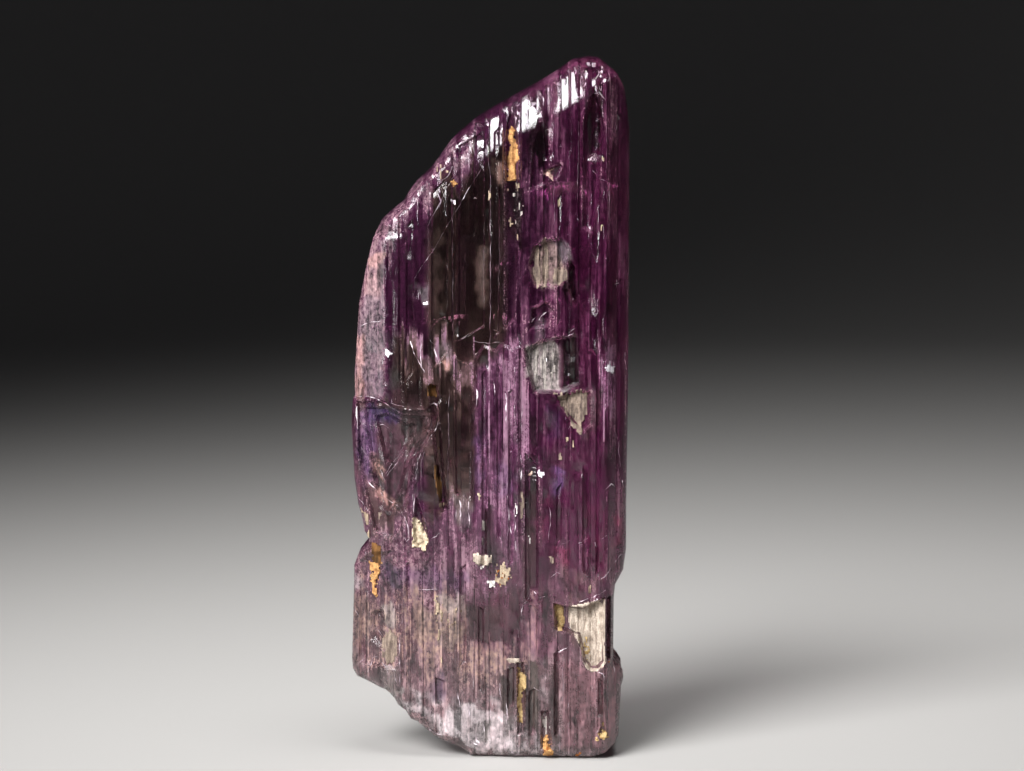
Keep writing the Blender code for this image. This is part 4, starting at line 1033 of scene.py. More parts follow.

# chipped edges, scratches and cracks that show pale, and painted glints and highlights: width in mm, how
# pale, corners in pixels
paleLines = [
    (0.09, 0.6, "486,160 458.6,206.7 439.4,239.7 415.8,276.3"),
    (0.08, 0.5, "463.6,160.7 446,193 430,224"),
    (0.09, 0.6, "454.6,206 453.8,240 453.6,290 453.6,339"),
    (0.1, 0.55, "452,372 449.6,405 449.4,440 449,484"),
    (0.08, 0.5, "487,140 489,158 491,180 491,240 491,300 490,338"),
    (0.1, 0.5, "576.5,122 576,150 576,176 575,212"),
    (0.07, 0.4, "484,246 484.8,262 484.6,280 485,306"),
    (0.06, 0.3, "466,250 465.6,300 466,338"),
    (0.06, 0.3, "500,215 499,270 498,336"),
    (0.1, 0.5, "553,182 553.5,210 552,240"),
    (0.07, 0.35, "602.5,84 603,110 604,140 603,170 606,215 604,236"),
    (0.14, 0.6, "590.4,169.4 596,176 602,179 606.6,181.8"),
    (0.1, 0.5, "606.6,181.8 607,200 608,222"),
    (0.14, 0.8, "360.3,324.7 371,320 382.7,317.6"),
    (0.3, 0.95, "412.4,337.6 415.4,346 418.4,354 422,361 425.8,368.3"),
    (0.16, 0.8, "424,335.3 422.6,347 422.6,358.9 425.2,368.3"),
    (0.26, 1.0, "431.7,335.3 436.4,340 435.2,346 439.4,356.5"),
    (0.12, 0.8, "493.4,325.8 497.4,326.4"),
    (0.1, 0.6, "474,337 488,338.5 500,337.4"),
    (0.26, 1.0, "538.7,315.8 541.5,311.4 548.1,307.4"),
    (0.22, 1.0, "531.4,318 532.8,314.8 535.1,312.9"),
    (0.12, 0.5, "543,320 544.4,330 543,337"),
    (0.18, 0.85, "544.6,336.9 553,335.7 561.1,334.4 567,331 572.9,327.4"),
    (0.14, 0.7, "567.4,328.4 573.4,323.4"),
    (0.22, 1.0, "612.2,280.4 617.4,279.8"),
    (0.2, 1.0, "614.8,276 614.8,285"),
    (0.08, 0.4, "615.2,286 615.6,310 615.4,336 615.9,358"),
    (0.24, 0.85, "623.4,349 623.8,357 624.2,366"),
    (0.1, 0.8, "611,357 612,363 612.6,372"),
    (0.16, 0.75, "355.6,396.8 361,394.4 368.6,393.5 380.4,395.6 392.2,401.5 401.6,406.8"),
    (0.2, 0.95, "401.6,406.8 411.1,405.4 420.5,406.6 425.2,408.4"),
    (0.1, 0.6, "392,398 399,400.6 406,402.4"),
    (0.1, 0.6, "375.7,423.9 383.9,421.6 389.8,425.1 393.4,431"),
    (0.1, 0.5, "398.1,420.4 402,417.8 406.3,416.9"),
    (0.14, 0.5, "360,424 366,421 374,423.4"),
    (0.3, 0.95, "431.1,400.7 435,399.6 438,401.4 439.8,406.2 439.6,415.7 436.4,425.1 432.3,431"),
    (0.1, 0.4, "432,431 428,441 424.4,452 421,461"),
    (0.3, 1.0, "357.6,404.4 357.4,412 358.5,420 358.4,427"),
    (0.1, 0.8, "359.6,414 362,422 368,424"),
    (0.1, 0.6, "368.6,441 371.6,447.4 374,453"),
    (0.12, 0.7, "356.8,441.6 362.6,447 368.6,453"),
    (0.16, 0.7, "380.4,466.4 383.6,472 386.4,478"),
    (0.16, 0.8, "368.6,478.2 375,485 382.7,491.2"),
    (0.12, 0.6, "382.7,491.2 390.6,497.6 399.3,503 404,510"),
    (0.12, 0.5, "386,470 392.4,461 399,452 404,443"),
    (0.12, 0.5, "388,473 394,465 399.6,458"),
    (0.1, 0.6, "400,508 405.6,515 409,524 410.4,534"),
    (0.26, 0.75, "417.2,459.3 417.8,467.6 415.9,485.3 414,508.9"),
    (0.1, 0.5, "421,497 424,509 427.6,521 431,531"),
    (0.14, 0.8, "405.6,532 408,535.6 410,532"),
    (0.12, 0.6, "432,533 437.4,530 441,526"),
    (0.16, 0.6, "358,496 362.6,501 369,508"),
    (0.3, 0.9, "477,366 476.4,380 477,392 476.6,402"),
    (0.1, 0.7, "484.6,381 484,397 485.4,420"),
    (0.3, 0.95, "506.2,388 507,396 506.8,408 506,417"),
    (0.2, 0.8, "495,372 494.6,384 495,400"),
    (0.14, 0.7, "514.6,362 515,380 514.6,398 515.4,420"),
    (0.12, 0.6, "521,372 521.6,400 520.8,430"),
    (0.3, 0.9, "460.6,494.4 461,501 460.4,508"),
    (0.3, 0.9, "465.8,496 466.6,504 465.8,512"),
    (0.14, 0.7, "469.8,490 469.4,512 470,522"),
    (0.26, 0.9, "520.6,449 521,460 521.6,468 521.2,476"),
    (0.3, 0.8, "507,490 508.6,505 510,518 511.2,528"),
    (0.2, 0.8, "514.6,496 515.4,510 514.8,530 516,544"),
    (0.1, 0.8, "523.4,497 527.4,497.4 526.8,494.8"),
    (0.18, 0.9, "560.3,537 565,535.6 569.4,533.3"),
    (0.12, 0.8, "577.3,537 582,534.6 587,530.9"),
    (0.12, 0.6, "548.8,500 549.4,515 548.4,533"),
    (0.1, 0.7, "600.6,531.4 606,527.6"),
    (0.12, 0.7, "550,570 555.6,565.4 560,566.4"),
    (0.1, 0.6, "594,535 594.8,541"),
    (0.12, 0.6, "604,482 610,477.4 614,482"),
    (0.2, 0.9, "621,476 621.6,481"),
    (0.12, 0.7, "612.6,420 614.6,428 616,434"),
    (0.12, 0.6, "617.6,436 618.4,452 620,462"),
    (0.14, 0.6, "600,571 606,567 612,558.6 621,549"),
    (0.1, 0.5, "614.8,547 620.6,546.4"),
    (0.14, 0.8, "578,595.3 585,591.6 593.3,589.4 604,582.6"),
    (0.2, 0.85, "554.3,649.6 558.4,645.4 562.6,641.4 567.3,640.6"),
    (0.24, 0.8, "505.6,651 511,655.8 516,656.6"),
    (0.12, 0.7, "521,618 521.8,606 522.4,598"),
    (0.14, 0.7, "523.2,597.6 528,592.8 531,587"),
    (0.3, 0.8, "534,586 538,591.4 545,589.6"),
    (0.12, 0.6, "469,700 469.6,707 469,713"),
    (0.34, 0.9, "476.4,731 477,738.6"),
    (0.2, 0.8, "484,719 484.6,727"),
    (0.26, 0.9, "511.6,747 513.6,748.4"),
    (0.12, 0.6, "559.6,712 560,735 560,752"),
    (0.1, 0.5, "567,690 567.6,720 567,750"),
    (0.1, 0.6, "497,676 493,690 491.6,700"),
    (0.12, 0.7, "506,700 506.6,712 505.6,722"),
    (0.12, 0.6, "429.6,699.4 432.6,705 430,712"),
    (0.14, 0.6, "369.6,661 373,656.4 378,654.6"),
    (0.12, 0.5, "366.6,672 370,664 372.6,658"),
    (0.12, 0.6, "419.6,583.6 423,584.4 428.6,583.8 438.4,584.6"),
    (0.12, 0.6, "399.4,600 399.8,630 399.6,660 400,684"),
    (0.1, 0.5, "375,625 380,630.6 383.4,636"),
    (0.1, 0.5, "353.6,608 357.4,613.6 361,618 358,626"),
    (0.12, 0.6, "457,142 462,152 465,158"),
    (0.18, 0.8, "468,138 470.6,146 473,154"),
    (0.14, 0.7, "476,137 474.6,148 476.6,156"),
    (0.12, 0.6, "441,173 446.6,168 452,163"),
    (0.12, 0.6, "444,180 449,176.4 454,166"),
    (0.14, 0.7, "438.6,192 442.4,200 441,206"),
    (0.12, 0.6, "590,92 592.6,84 596.6,76"),
    (0.1, 0.6, "596,93 600,97.6 603,101"),
    (0.26, 0.9, "605.6,73 607,78 605.6,83"),
    (0.3, 0.9, "614.8,124.6 613.6,131"),
    (0.1, 0.4, "593,121 598.4,118.6"),
    (0.3, 0.95, "470.6,736 474,739.4 479.4,740.6"),
    (0.24, 0.9, "509,748 513,750.6 520,751.4"),
    (0.2, 0.9, "447.6,705.4 451.4,707.8"),
    (0.14, 0.75, "457,684 458.2,692 460,703"),
    (0.12, 0.7, "463,686 463.6,694 462.4,701"),
    (0.2, 0.9, "492,697 492.6,705.4"),
    (0.14, 0.8, "500.4,678 500,688 501,697"),
    (0.18, 0.8, "534,682 537,684.8 540,683.6"),
    (0.12, 0.75, "571.6,665 577,669 581.4,668"),
    (0.1, 0.7, "585,675 590.6,678.4 593,684"),
    (0.12, 0.75, "597,664.6 602,667 604.4,673"),
    (0.14, 0.8, "382.4,659 387,664.6 389.6,671"),
    (0.12, 0.7, "391,663 394.4,670 398,681"),
    (0.1, 0.6, "375.4,640 379,646 378,653"),
    (0.1, 0.55, "402.6,593 403.2,610 402.4,628"),
    (0.12, 0.6, "546,662 545.2,680 543.4,698"),
    (0.1, 0.6, "562,656 562.4,684 561.6,708"),
    (0.14, 0.7, "611.4,660 614.6,668 615.4,680"),
    (0.16, 0.8, "429,726 436,730.4 441,731"),
    (0.1, 0.6, "474,664 474.8,676 473.6,686"),
    (0.26, 0.95, "469.6,697 470,706 469.8,714"),
    (0.16, 0.9, "490.6,702 491.4,710 492,718"),
    (0.14, 0.9, "505.6,695 506.4,704 506.6,715"),
    (0.34, 1.0, "476,735 478,737.4 479.6,739.4"),
    (0.3, 1.0, "511.4,748.4 514.6,749"),
    (0.14, 0.8, "518,740 518.4,750"),
    (0.12, 0.7, "505.4,738 505.6,750"),
    (0.2, 0.9, "547.4,725 547,730"),
    (0.22, 0.9, "536.6,683.4 539.2,685"),
    (0.16, 0.85, "466,732 467.4,738.6"),
    (0.1, 0.6, "496,742 496.4,751"),
    (0.16, 0.65, "434,414 430,430 422,446 418.6,458 416,474 414.4,488 413.6,508"),
    (0.16, 0.7, "402,508 406,512 408.6,520 409.6,530"),
    (0.22, 0.75, "460.6,494 461.4,506 461,518"),
    (0.14, 0.65, "456.6,500 457,514"),
    (0.12, 0.6, "464,486 464.4,499"),
    (0.12, 0.6, "507,476 507.6,500 508,534"),
]
paleLineLook = {
    "step": 0.2,
    "widen": 0.8,
    "proud": 0.05,
    "buried": 0.10,
    # the pale colour is partly painted highlight
    "colour": (0.86, 0.76, 0.82, 1),
    "faintColour": (0.46, 0.33, 0.40, 1),
    "roughness": 0.28,
}


def paleLineMesh():
    # each line is a low ridge, thin at both ends and broken, that lies on the front face
    look = paleLineLook
    flats, lifts, faces, pale = [], [], [], []
    first = 0
    for number, (width, bright, pixels) in enumerate(paleLines):
        line = evenly(inMillimetres(pixels), look["step"], False)
        if len(line) < 4:
            line = np.array([line[0] + share * (line[-1] - line[0]) for share in np.linspace(0, 1, 4)])
        along = np.gradient(line, axis=0)
        along /= np.maximum(np.linalg.norm(along, axis=1), 1e-9)[:, None]
        across = np.column_stack([along[:, 1], -along[:, 0]])
        wobble = flatWander(line, 0.8, 1.3, number) + 0.5 * flatWander(line, 0.3, 0.4, number + 20)
        line = line + across * 0.13 * wobble[:, None] * min(1, len(line) / 12)
        ends = np.sin(np.pi * np.linspace(0.05, 0.95, len(line))) ** 0.6
        broken = np.clip(0.62 + 1.3 * flatWander(line, 0.5, 0.8, number + 40), 0.12, 1.25)
        half = (width * look["widen"] / 2 * ends * broken)[:, None]
        for offset, lift in ((-1, 0.02), (0, -look["proud"] * bright), (1, 0.02), (0, look["buried"])):
            flats.append(line + across * half * offset)
            lifts.append(np.full(len(line), lift))
            pale.append(bright * (0.35 + 0.65 * broken))
        count = len(line)
        for side in range(4):
            near, far = first + side * count, first + (side + 1) % 4 * count
            faces += [(near + i, near + i + 1, far + i + 1, far + i) for i in range(count - 1)]
        faces.append(tuple(first + side * count for side in range(4)))
        faces.append(tuple(first + side * count + count - 1 for side in range(4)))
        first += count * 4
    flat = np.vstack(flats)
    depth = np.maximum(frontFace.depthAt(flat) + np.concatenate(lifts), foremost)
    height = np.maximum(flat[:, 1], 0.02)
    return np.column_stack([flat[:, 0], depth, height]), faces, np.concatenate(pale)


def paleLineMaterial():
    look = paleLineLook
    material, tree = newMaterial("chipped_edges_and_glints")
    place = placeInMm(tree)
    grain = patterned(tree, place, (5.0, 5.0, 3.0), 3.0, 0.6)
    share = maths(tree, "MULTIPLY_ADD", maths(tree, "SUBTRACT", grain, 0.5), 1.6, painted(tree, "pale"))
    # partly painted highlight: many lines are glints, the rest chipped edges and cracks
    colour = mixed(tree, between(tree, share, 0.35, 1.05), look["faintColour"], look["colour"])
    clear = maths(tree, "MULTIPLY_ADD", between(tree, share, 0.3, 0.9), -0.75, 0.8)
    shader = node(tree, "ShaderNodeBsdfPrincipled", {
        "Base Color": colour, "Roughness": look["roughness"], "IOR": crystalLook["ior"],
        "Transmission Weight": clear,
    })
    node(tree, "ShaderNodeOutputMaterial", {"Surface": shader.outputs[0]})
    return material


*ridgePoints, linePale = paleLineMesh()
chipsAndGlints = addObject("chipped_edges_and_glints", *ridgePoints)
outwards(chipsAndGlints)
paintPoints(chipsAndGlints, "pale", linePale)
smoothed(chipsAndGlints)
chipsAndGlints.data.materials.append(paleLineMaterial())
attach(chipsAndGlints, "root")
print("chipped edges:", len(paleLines), "lines,", len(chipsAndGlints.data.polygons), "faces")


# dirt and crusts left in the hollows, and near-white specks that are painted glints:
# kind, thickness, ragged, how much is covered, corners in pixels
dirtPatches = [
    ("paintedGlint", 0.05, 0.1, 1.0, "385,347 387.6,342 389.8,345.7 393.4,349.4 391,354 387,351.6"),
    ("paintedGlint", 0.04, 0.14, 1.0, "603.6,361 605.4,357.6 607,360 609,352 610.4,359.6 613.4,361.4 611.6,365 "
                               "610.6,374 608.4,366.4 604.6,367"),
    ("paintedGlint", 0.03, 0.12, 1.0, "537,465 539.6,462.6 541,464.6 545.6,464 545,470.6 543,469.6 541,472 "
                               "538,470"),
    ("skin", 0.1, 0.04, 1.0, "524.5,472.7 526.4,467.9 533,464.2 532.4,469"),
    ("paintedGlint", 0.05, 0.1, 1.0, "449.9,194.3 453,197 458.6,196.8 456.7,204.2 453.6,203"),
    ("paintedGlint", 0.05, 0.1, 1.0, "542.2,353 545.6,351.6 549,358 544.6,357.6"),
    ("paintedGlint", 0.04, 0.1, 0.9, "421.3,292 423.6,293 426,299 430,297 428.8,303.4 424,301"),
    ("clay", 0.3, 0.1, 1.0, "511.5,124.6 515.8,130.8 514.6,137.1 518.3,144.5 518.9,153.2 519.6,158.2 "
                            "517.1,164.4 518.3,174.4 515.8,180.6 507.7,180.6 506.5,169.4 507.1,157 "
                            "509.6,144.5 506.5,139.6 507.7,130.8"),
    ("straw", 0.14, 0.1, 0.34, "507,181 522,181 522.6,200 520.6,222 520,238 511,238 508,215"),
    ("ash", 0.12, 0.1, 0.36, "509,192 522.6,186 522.4,214 519.6,240 510.6,240 509,215"),
    ("clay", 0.2, 0.15, 0.9, "451.1,180.6 455.5,176.9 460.5,185 454.9,184.9"),
    ("straw", 0.08, 0.08, 1.0, "488.2,189 490.6,188.6 491.4,196 489,199"),
    ("straw", 0.12, 0.25, 0.5, "432,168 442,163 452,172 450,184 440,178"),
    ("skin", 0.14, 0.05, 1.0, "540.7,172.5 551.9,166.9 554.6,166 553.6,181.2"),
    ("straw", 0.08, 0.08, 1.0, "555.8,197 558.6,196 559.4,203 557,206"),
    ("straw", 0.1, 0.08, 1.0, "598.4,154.6 601.8,155.4 602.8,160.4 600,161.6"),
    ("straw", 0.1, 0.08, 1.0, "598,221 600.8,222.4 600,229 598.2,230"),
    ("bark", 0.07, 0.16, 0.9, "533,249 537,240 540,258 539,281 535,286 532,268"),
    ("bark", 0.06, 0.16, 0.9, "542,237 547,233 549,256 548,286 543,284 541,262"),
    ("bark", 0.08, 0.2, 0.85, "551,262 556,264 565,266 567,276 558,283 552,284"),
    ("ash", 0.07, 0.12, 0.95, "525,342 529,339 530.6,356 530,372 527,367 525.4,356"),
    ("ash", 0.06, 0.12, 0.9, "532.6,338 538,337 538.6,360 537.6,383 533.6,381 532,362"),
    ("ash", 0.06, 0.14, 0.9, "541,337.6 545,337 547,352 546,372 546.4,386 541.6,385 540.6,360"),
    ("ash", 0.05, 0.14, 0.9, "550,338 553,337 554,356 553,384 550.6,386"),
    ("bark", 0.1, 0.3, 0.8, "550,384.2 558.7,386 570.5,388 580,381.3 588,388.4 588.6,400 585,412 582,418 "
                            "582,427.6 576,426.4 568.5,416 562.5,404 556,394"),
    ("straw", 0.1, 0.08, 1.0, "565,430 567.6,430.4 567,438.6 564.8,436"),
    ("straw", 0.1, 0.08, 1.0, "570.8,431 573.2,432.6 572.6,441 570.6,440"),
    ("bark", 0.08, 0.1, 1.0, "556,446.6 560.6,446 562,453 558.4,455.6"),
    ("amber", 0.12, 0.1, 1.0, "427.6,378.9 434.7,377.7 438.2,383.7 438.2,393 432.3,394.2 427.6,390.7"),
    ("amber", 0.12, 0.1, 1.0, "434.7,457.8 439.4,460.5 441.7,477 444.9,497.3 440,500 437,485.3 "
                              "434,467.6"),
    ("straw", 0.1, 0.1, 0.9, "439.4,498.4 445.6,498 445.8,503.4 440,503.6"),
    ("amber", 0.1, 0.1, 0.9, "438.6,443 441,442.6 441,449 439,449"),
    ("cream", 0.3, 0.12, 1.0, "413.4,510 420.5,515.9 426.4,521.8 429.9,534.8 427.6,546.6 422.9,546.6 "
                              "419.3,541.7 413.4,543.1 412.2,531.3"),
    ("straw", 0.16, 0.25, 0.75, "360.3,506.5 369.8,508.9 370.4,524.2 365.1,524.2"),
    ("straw", 0.16, 0.25, 0.75, "365.6,527.7 370,528 370,536 366,535"),
    ("bark", 0.08, 0.1, 1.0, "378.6,508 382.2,509 382,516.4 379.8,516.6"),
    ("bark", 0.08, 0.1, 1.0, "391.4,510 393.8,511 394,519 392,519.6"),
    ("cream", 0.12, 0.1, 1.0, "477.4,485.4 481.8,486 481.6,493.6 478.6,494.4"),
    ("ash", 0.12, 0.1, 1.0, "481.4,513.6 485.8,515 485.4,524 482,525"),
    ("ash", 0.1, 0.1, 1.0, "482,531 485,532.4 484.4,541 482.6,540"),
    ("chalk", 0.2, 0.2, 0.9, "471.4,548.6 477,546 484.6,549.4 492.5,547.8 492.5,556 485,561 474,559.6"),
    ("rust", 0.16, 0.3, 0.35, "474,550 487,551 486,558 476,558"),
    ("white", 0.22, 0.1, 1.0, "479.5,559.6 484.2,559.8 484,563.4 480,563.4"),
    ("straw", 0.1, 0.4, 0.76, "496.8,557 503,556.4 511.8,562 511,572 505,581 497,578 494.8,568"),
    ("rust", 0.2, 0.3, 0.5, "498,560 506,562 510,575 504,584 497,575"),
    ("white", 0.1, 0.1, 1.0, "486,575 491,573.4 496.6,576 495.6,581 489,582.6"),
    ("bark", 0.1, 0.16, 0.95, "519.6,482 523.2,484 524,500 523.4,516 520.6,522 519.8,505"),
    ("white", 0.12, 0.1, 1.0, "514.4,497 517,496 518,506 515.6,510"),
    ("white", 0.12, 0.1, 1.0, "526.8,528 529.6,529.6 531.4,540 528.6,538"),
    ("bark", 0.1, 0.1, 1.0, "548,548 552.4,548.6 553,556 550,558"),
    ("straw", 0.16, 0.15, 0.9, "585.8,578.6 590,577.6 590.6,587 586.4,587.6"),
    ("amber", 0.12, 0.15, 0.95, "372,539 381.4,541 382,562 370,562"),
    ("clay", 0.22, 0.25, 0.86, "369.6,558 382,558 380.4,574.2 376.9,580.1 379.2,590.7 376.9,595.4 "
                               "372.6,591.9 370.6,581.2"),
    ("yellow", 0.2, 0.3, 0.6, "370.6,568 377,570 378,590 374,592 371,580"),
    ("bark", 0.1, 0.3, 0.8, "382.7,632.8 389.8,627 397.6,627 397.6,659 387.5,661.6 382.6,654.4 "
                            "381.4,642.6"),
    ("rust", 0.14, 0.3, 0.3, "385,634 392,634 391,652 386,652"),
    ("straw", 0.1, 0.3, 0.55, "434.7,590.5 442.9,590.5 444.1,616.6 440.6,635.5 435.8,635.5 433.9,607.2"),
    ("straw", 0.08, 0.3, 0.45, "447,602 464,603 463,626 448,624"),
    ("straw", 0.08, 0.3, 0.4, "434,652 446,640 448,650 440,666 434,668"),
    ("yellow", 0.22, 0.12, 1.0, "553.6,597.7 562.6,597 565.6,615.4 563.8,625.6 556.7,624.4 555.5,609.5"),
    ("chalk", 0.12, 0.1, 1.0, "566,599 604,591 604.8,657 599,664.4 592,666 583.6,661 580,646 576,634 "
                              "569,622"),
    ("yellow", 0.2, 0.2, 0.62, "580,628 588,630 591,646 590,661 584.4,660 581,646"),
    ("rust", 0.16, 0.3, 0.6, "607,640 612,644 613,656 608,657"),
    ("chalk", 0.12, 0.12, 1.0, "506,650.8 520,650.6 520.4,658.4 507,657"),
    ("yellow", 0.22, 0.08, 1.0, "516.6,657.9 522,666 526,670 526.6,682.7 523,688 523.6,721.6 518.8,719.2 "
                                "516.4,698 518.4,674.4"),
    ("rust", 0.14, 0.3, 0.4, "516.6,692 522,694 522,712 518,712"),
    ("clay", 0.3, 0.25, 0.95, "546.6,729.9 550.8,736.9 553.2,746 557,750 549.6,753.4 542.4,752 542,745.2 "
                              "544,734.6"),
    ("rust", 0.34, 0.3, 0.6, "545.6,732.9 549.8,736.9 552.2,746 554,750 546.6,752 543.4,747 544.6,737"),
    ("ash", 0.12, 0.2, 0.55, "541.4,709.8 550,710 550,732 543,733"),
    ("yellow", 0.24, 0.3, 0.8, "602.7,715.7 607.4,726.3 608.6,732.2 602.7,734.6 594.3,734.8 599,726.3"),
    ("rust", 0.12, 0.3, 0.8, "575.6,750.6 583.8,745.6 584.6,747.4 577,751.6"),
]
dirtKinds = {                       # pale colour, deep colour, upright grain
    "clay": ((0.52, 0.28, 0.11), (0.24, 0.11, 0.04), False),
    "yellow": ((0.46, 0.33, 0.16), (0.22, 0.13, 0.05), False),
    "straw": ((0.40, 0.31, 0.22), (0.13, 0.09, 0.07), True),
    "bark": ((0.25, 0.19, 0.15), (0.07, 0.05, 0.045), True),
    "amber": ((0.16, 0.075, 0.025), (0.05, 0.025, 0.01), True),
    "rust": ((0.30, 0.10, 0.02), (0.08, 0.03, 0.015), False),
    "cream": ((0.58, 0.48, 0.35), (0.24, 0.18, 0.12), False),
    "chalk": ((0.50, 0.42, 0.35), (0.23, 0.18, 0.145), True),
    "ash": ((0.44, 0.39, 0.36), (0.06, 0.05, 0.05), True),
    "white": ((0.80, 0.77, 0.74), (0.36, 0.33, 0.31), False),
    # painted glints: near-white specks standing in for highlights
    "paintedGlint": ((0.95, 0.92, 0.95), (0.60, 0.52, 0.60), True),
    "skin": ((0.60, 0.42, 0.35), (0.25, 0.15, 0.13), True),
}
dirtLook = {
    "step": 0.125,                  # mm between points
    "grain": 0.05,                  # how far grains stand out, mm
    "buried": 0.12,
    "sharpAngle": 50,               # degrees
    "roughness": 0.95,
    "specular": 0.2,
}


def dirtPatch(number, thickness, rough, cover, corners, upright):
    # the top and the underside of one patch, on a square grid cut to a ragged shape
    step = dirtLook["step"]
    low = np.min(corners, axis=0) - 0.3
    high = np.max(corners, axis=0) + 0.3
    xs = np.arange(low[0], high[0], step)
    zs = np.arange(low[1], high[1], step)
    flat = np.array([(x, z) for x in xs for z in zs])
    lumps = flatWander(flat, 0.26 if upright else 0.36, 1.8 if upright else 0.4, number)
    fine = flatWander(flat, 0.15, 0.7 if upright else 0.17, number + 50)
    inside = depthInLoop(corners, flat) + rough * (1.3 * lumps + 0.8 * fine)
    gaps = flatWander(flat, 0.24, 1.6 if upright else 0.22, number + 90) + 0.5 * fine
    solid = 1.2 * np.maximum(inside, 0) * (cover > 0.7)     # only the border crumbles
    kept = (inside > 0) & (gaps + solid > 0.75 - 1.5 * cover)
    kept = kept.reshape(len(xs), len(zs))
    cells = kept[:-1, :-1] & kept[1:, :-1] & kept[:-1, 1:] & kept[1:, 1:]
    rise = thickness * smoothStep(0.0, 0.3, inside) * (0.85 + 0.25 * lumps)
    rise += dirtLook["grain"] * (0.5 + fine)
    depth = frontFace.depthAt(flat)
    top = np.column_stack([flat[:, 0], np.maximum(depth - np.maximum(rise, 0.03), foremost), flat[:, 1]])
    under = np.column_stack([flat[:, 0], depth + dirtLook["buried"], flat[:, 1]])
    total, tall = len(flat), len(zs)
    faces = []
    for i, j in zip(*np.nonzero(cells)):
        a, b, c, d = (i * tall + j, (i + 1) * tall + j, (i + 1) * tall + j + 1, i * tall + j + 1)
        faces += [(a, b, c, d), (d + total, c + total, b + total, a + total)]
        beside = ((i, j - 1, a, b), (i + 1, j, b, c), (i, j + 1, c, d), (i - 1, j, d, a))
        for nextI, nextJ, start, end in beside:
            here = 0 <= nextI < cells.shape[0] and 0 <= nextJ < cells.shape[1]
            if not (here and cells[nextI, nextJ]):
                faces.append((end, start, start + total, end + total))
    tone = np.clip(0.55 + 0.9 * lumps + 0.9 * fine, 0, 1)
    return np.vstack([top, under]), faces, np.concatenate([tone, tone])


def dirtPiece(name, kinds):
    points, faces, colours, shift = [], [], [], 0
    for number, (kind, thickness, rough, cover, pixels) in enumerate(dirtPatches):
        if kind not in kinds:
            continue
        pale, deep, upright = dirtKinds[kind]
        corners = inMillimetres(pixels)
        added, sides, tone = dirtPatch(number, thickness, rough, cover, corners, upright)
        points.append(added)
        faces += [tuple(shift + i for i in side) for side in sides]
        shade = np.array(deep) + tone[:, None] * (np.array(pale) - np.array(deep))
        colours.append(np.column_stack([shade, np.ones(len(shade))]))
        shift += len(added)
    made = addObject(name, np.vstack(points), faces)
    layer = made.data.attributes.new("dirt", "FLOAT_COLOR", "POINT")
    layer.data.foreach_set("color", np.vstack(colours).ravel().astype(np.float32))
    outwards(made)
    smoothed(made, dirtLook["sharpAngle"])
    material, tree = newMaterial(name)
    place = placeInMm(tree)
    grain = patterned(tree, place, (9.0, 9.0, 6.0), 3.0, 0.65)
    colour = node(tree, "ShaderNodeAttribute", attribute_name="dirt").outputs["Color"]
    shade = maths(tree, "MAXIMUM", maths(tree, "MULTIPLY_ADD", grain, 2.2, -0.1), 0.4)
    colour = node(tree, "ShaderNodeVectorMath", {0: colour, 3: shade}, operation="SCALE").outputs[0]
    bump = node(tree, "ShaderNodeBump", {"Strength": 0.4, "Distance": 0.00008, "Height": grain})
    shader = node(tree, "ShaderNodeBsdfPrincipled", {
        "Base Color": colour, "Roughness": dirtLook["roughness"], "Normal": bump.outputs[0],
        "Specular IOR Level": dirtLook["specular"],
    })
    node(tree, "ShaderNodeOutputMaterial", {"Surface": shader.outputs[0]})
    made.data.materials.append(material)
    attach(made, "root")
    print(name + ":", len(made.data.polygons), "faces")


dirtPiece("earth_in_hollows", ("clay", "yellow", "straw", "bark", "amber", "rust"))
dirtPiece("pale_crusts_and_glints", ("cream", "chalk", "ash", "white", "paintedGlint", "skin"))


studio = {
    "floorSize": 4.0,
    "sweepStart": 0.5,
    "sweepRadius": 0.5,
    "floorColour": (0.36, 0.35, 0.34, 1),
    "worldColour": (0.03, 0.03, 0.032, 1),
    "worldStrength": 1.0,
    # place, point it shines at, size in metres, power in watts, spread in degrees
    "lights": {
        "key": ((-0.20, -0.28, 0.34), (0, 0, 0.04), (0.26, 0.26), 0.54, 45),
        "top": ((0.03, -0.06, 0.40), (0, 0, 0.04), (0.2, 0.14), 0.12, 60),
        "fill": ((0.35, -0.35, 0.15), (0, 0, 0.04), (0.3, 0.3), 0.05, 180),
        "side": ((-0.34, -0.26, 0.12), (0, 0, 0.04), (0.06, 0.2), 0.10, 60),
    },
    "lens": 100,                    # mm
    "sensor": 36,                   # mm
    "tilt": 6,                      # degrees the camera looks down
    "frame": (1024, 771),           # pixels
    "pixel": 0.10779,               # mm a pixel at the crystal
    "middle": (489.2, 754),         # where in the frame the middle of the foot is
}


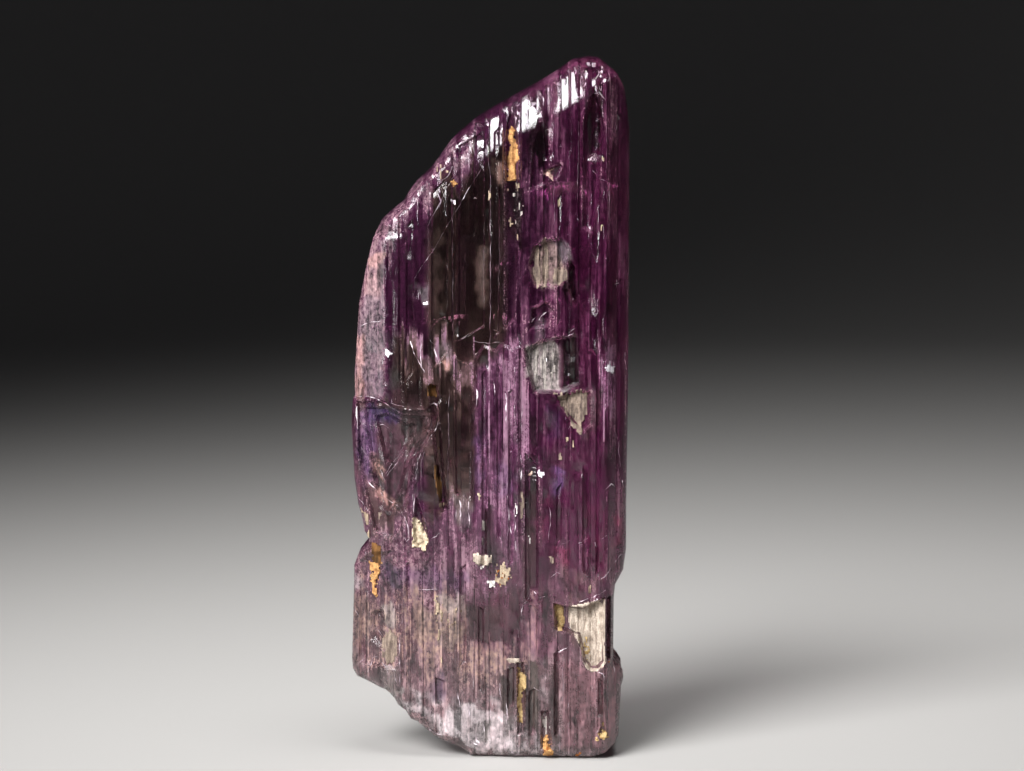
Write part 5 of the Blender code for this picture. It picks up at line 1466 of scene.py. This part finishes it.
def buildStudio():
    # a floor that sweeps up into a backdrop, far behind
    half = studio["floorSize"] / 2
    profile = [(-half, 0.0), (studio["sweepStart"], 0.0)]
    radius = studio["sweepRadius"]
    for turn in np.linspace(0, math.pi / 2, 24)[1:]:
        profile.append((studio["sweepStart"] + radius * math.sin(turn), radius * (1 - math.cos(turn))))
    profile.append((profile[-1][0], half))
    points = [(x, y, z) for y, z in profile for x in (-half, half)]
    faces = [(2 * i, 2 * i + 1, 2 * i + 3, 2 * i + 2) for i in range(len(profile) - 1)]
    mesh = bpy.data.meshes.new("floor")
    mesh.from_pydata(points, [], faces)
    mesh.polygons.foreach_set("use_smooth", [True] * len(faces))
    floor = bpy.data.objects.new("floor", mesh)
    bpy.context.scene.collection.objects.link(floor)
    material, tree = newMaterial("floor_card")
    shader = node(tree, "ShaderNodeBsdfPrincipled", {"Base Color": studio["floorColour"], "Roughness": 0.8})
    node(tree, "ShaderNodeOutputMaterial", {"Surface": shader.outputs[0]})
    mesh.materials.append(material)
    floor.location.z = -0.00002

    world = bpy.data.worlds.new("studio")
    bpy.context.scene.world = world
    world.use_nodes = True
    world.node_tree.nodes["Background"].inputs[0].default_value = studio["worldColour"]
    world.node_tree.nodes["Background"].inputs[1].default_value = studio["worldStrength"]


def softbox(name, place, target, size, power, spread):
    light = bpy.data.lights.new(name, "AREA")
    light.spread = math.radians(spread)
    light.shape = "RECTANGLE"
    light.size, light.size_y = size
    light.energy = power
    made = bpy.data.objects.new(name, light)
    bpy.context.scene.collection.objects.link(made)
    made.location = place
    made.rotation_euler = (Vector(target) - Vector(place)).to_track_quat("-Z", "Y").to_euler()


def buildCamera():
    data = bpy.data.cameras.new("camera")
    data.lens = studio["lens"]
    data.sensor_width = studio["sensor"]
    camera = bpy.data.objects.new("camera", data)
    bpy.context.scene.collection.objects.link(camera)
    scale = studio["pixel"] * mm
    width, height = studio["frame"]
    acrossMiddle, downMiddle = studio["middle"]
    distance = width * scale / 2 / math.tan(data.angle_x / 2)
    tilt = math.radians(studio["tilt"])
    target = Vector(((width / 2 - acrossMiddle) * scale, 0, (downMiddle - height / 2) * scale))
    camera.location = target + distance * Vector((0, -math.cos(tilt), math.sin(tilt)))
    camera.rotation_euler = (math.pi / 2 - tilt, 0, 0)
    bpy.context.scene.camera = camera


buildStudio()
for lightName, settings in studio["lights"].items():
    softbox(lightName, *settings)
buildCamera()
bpy.context.scene.view_settings.view_transform = "Standard"
print("kunzite: studio built")
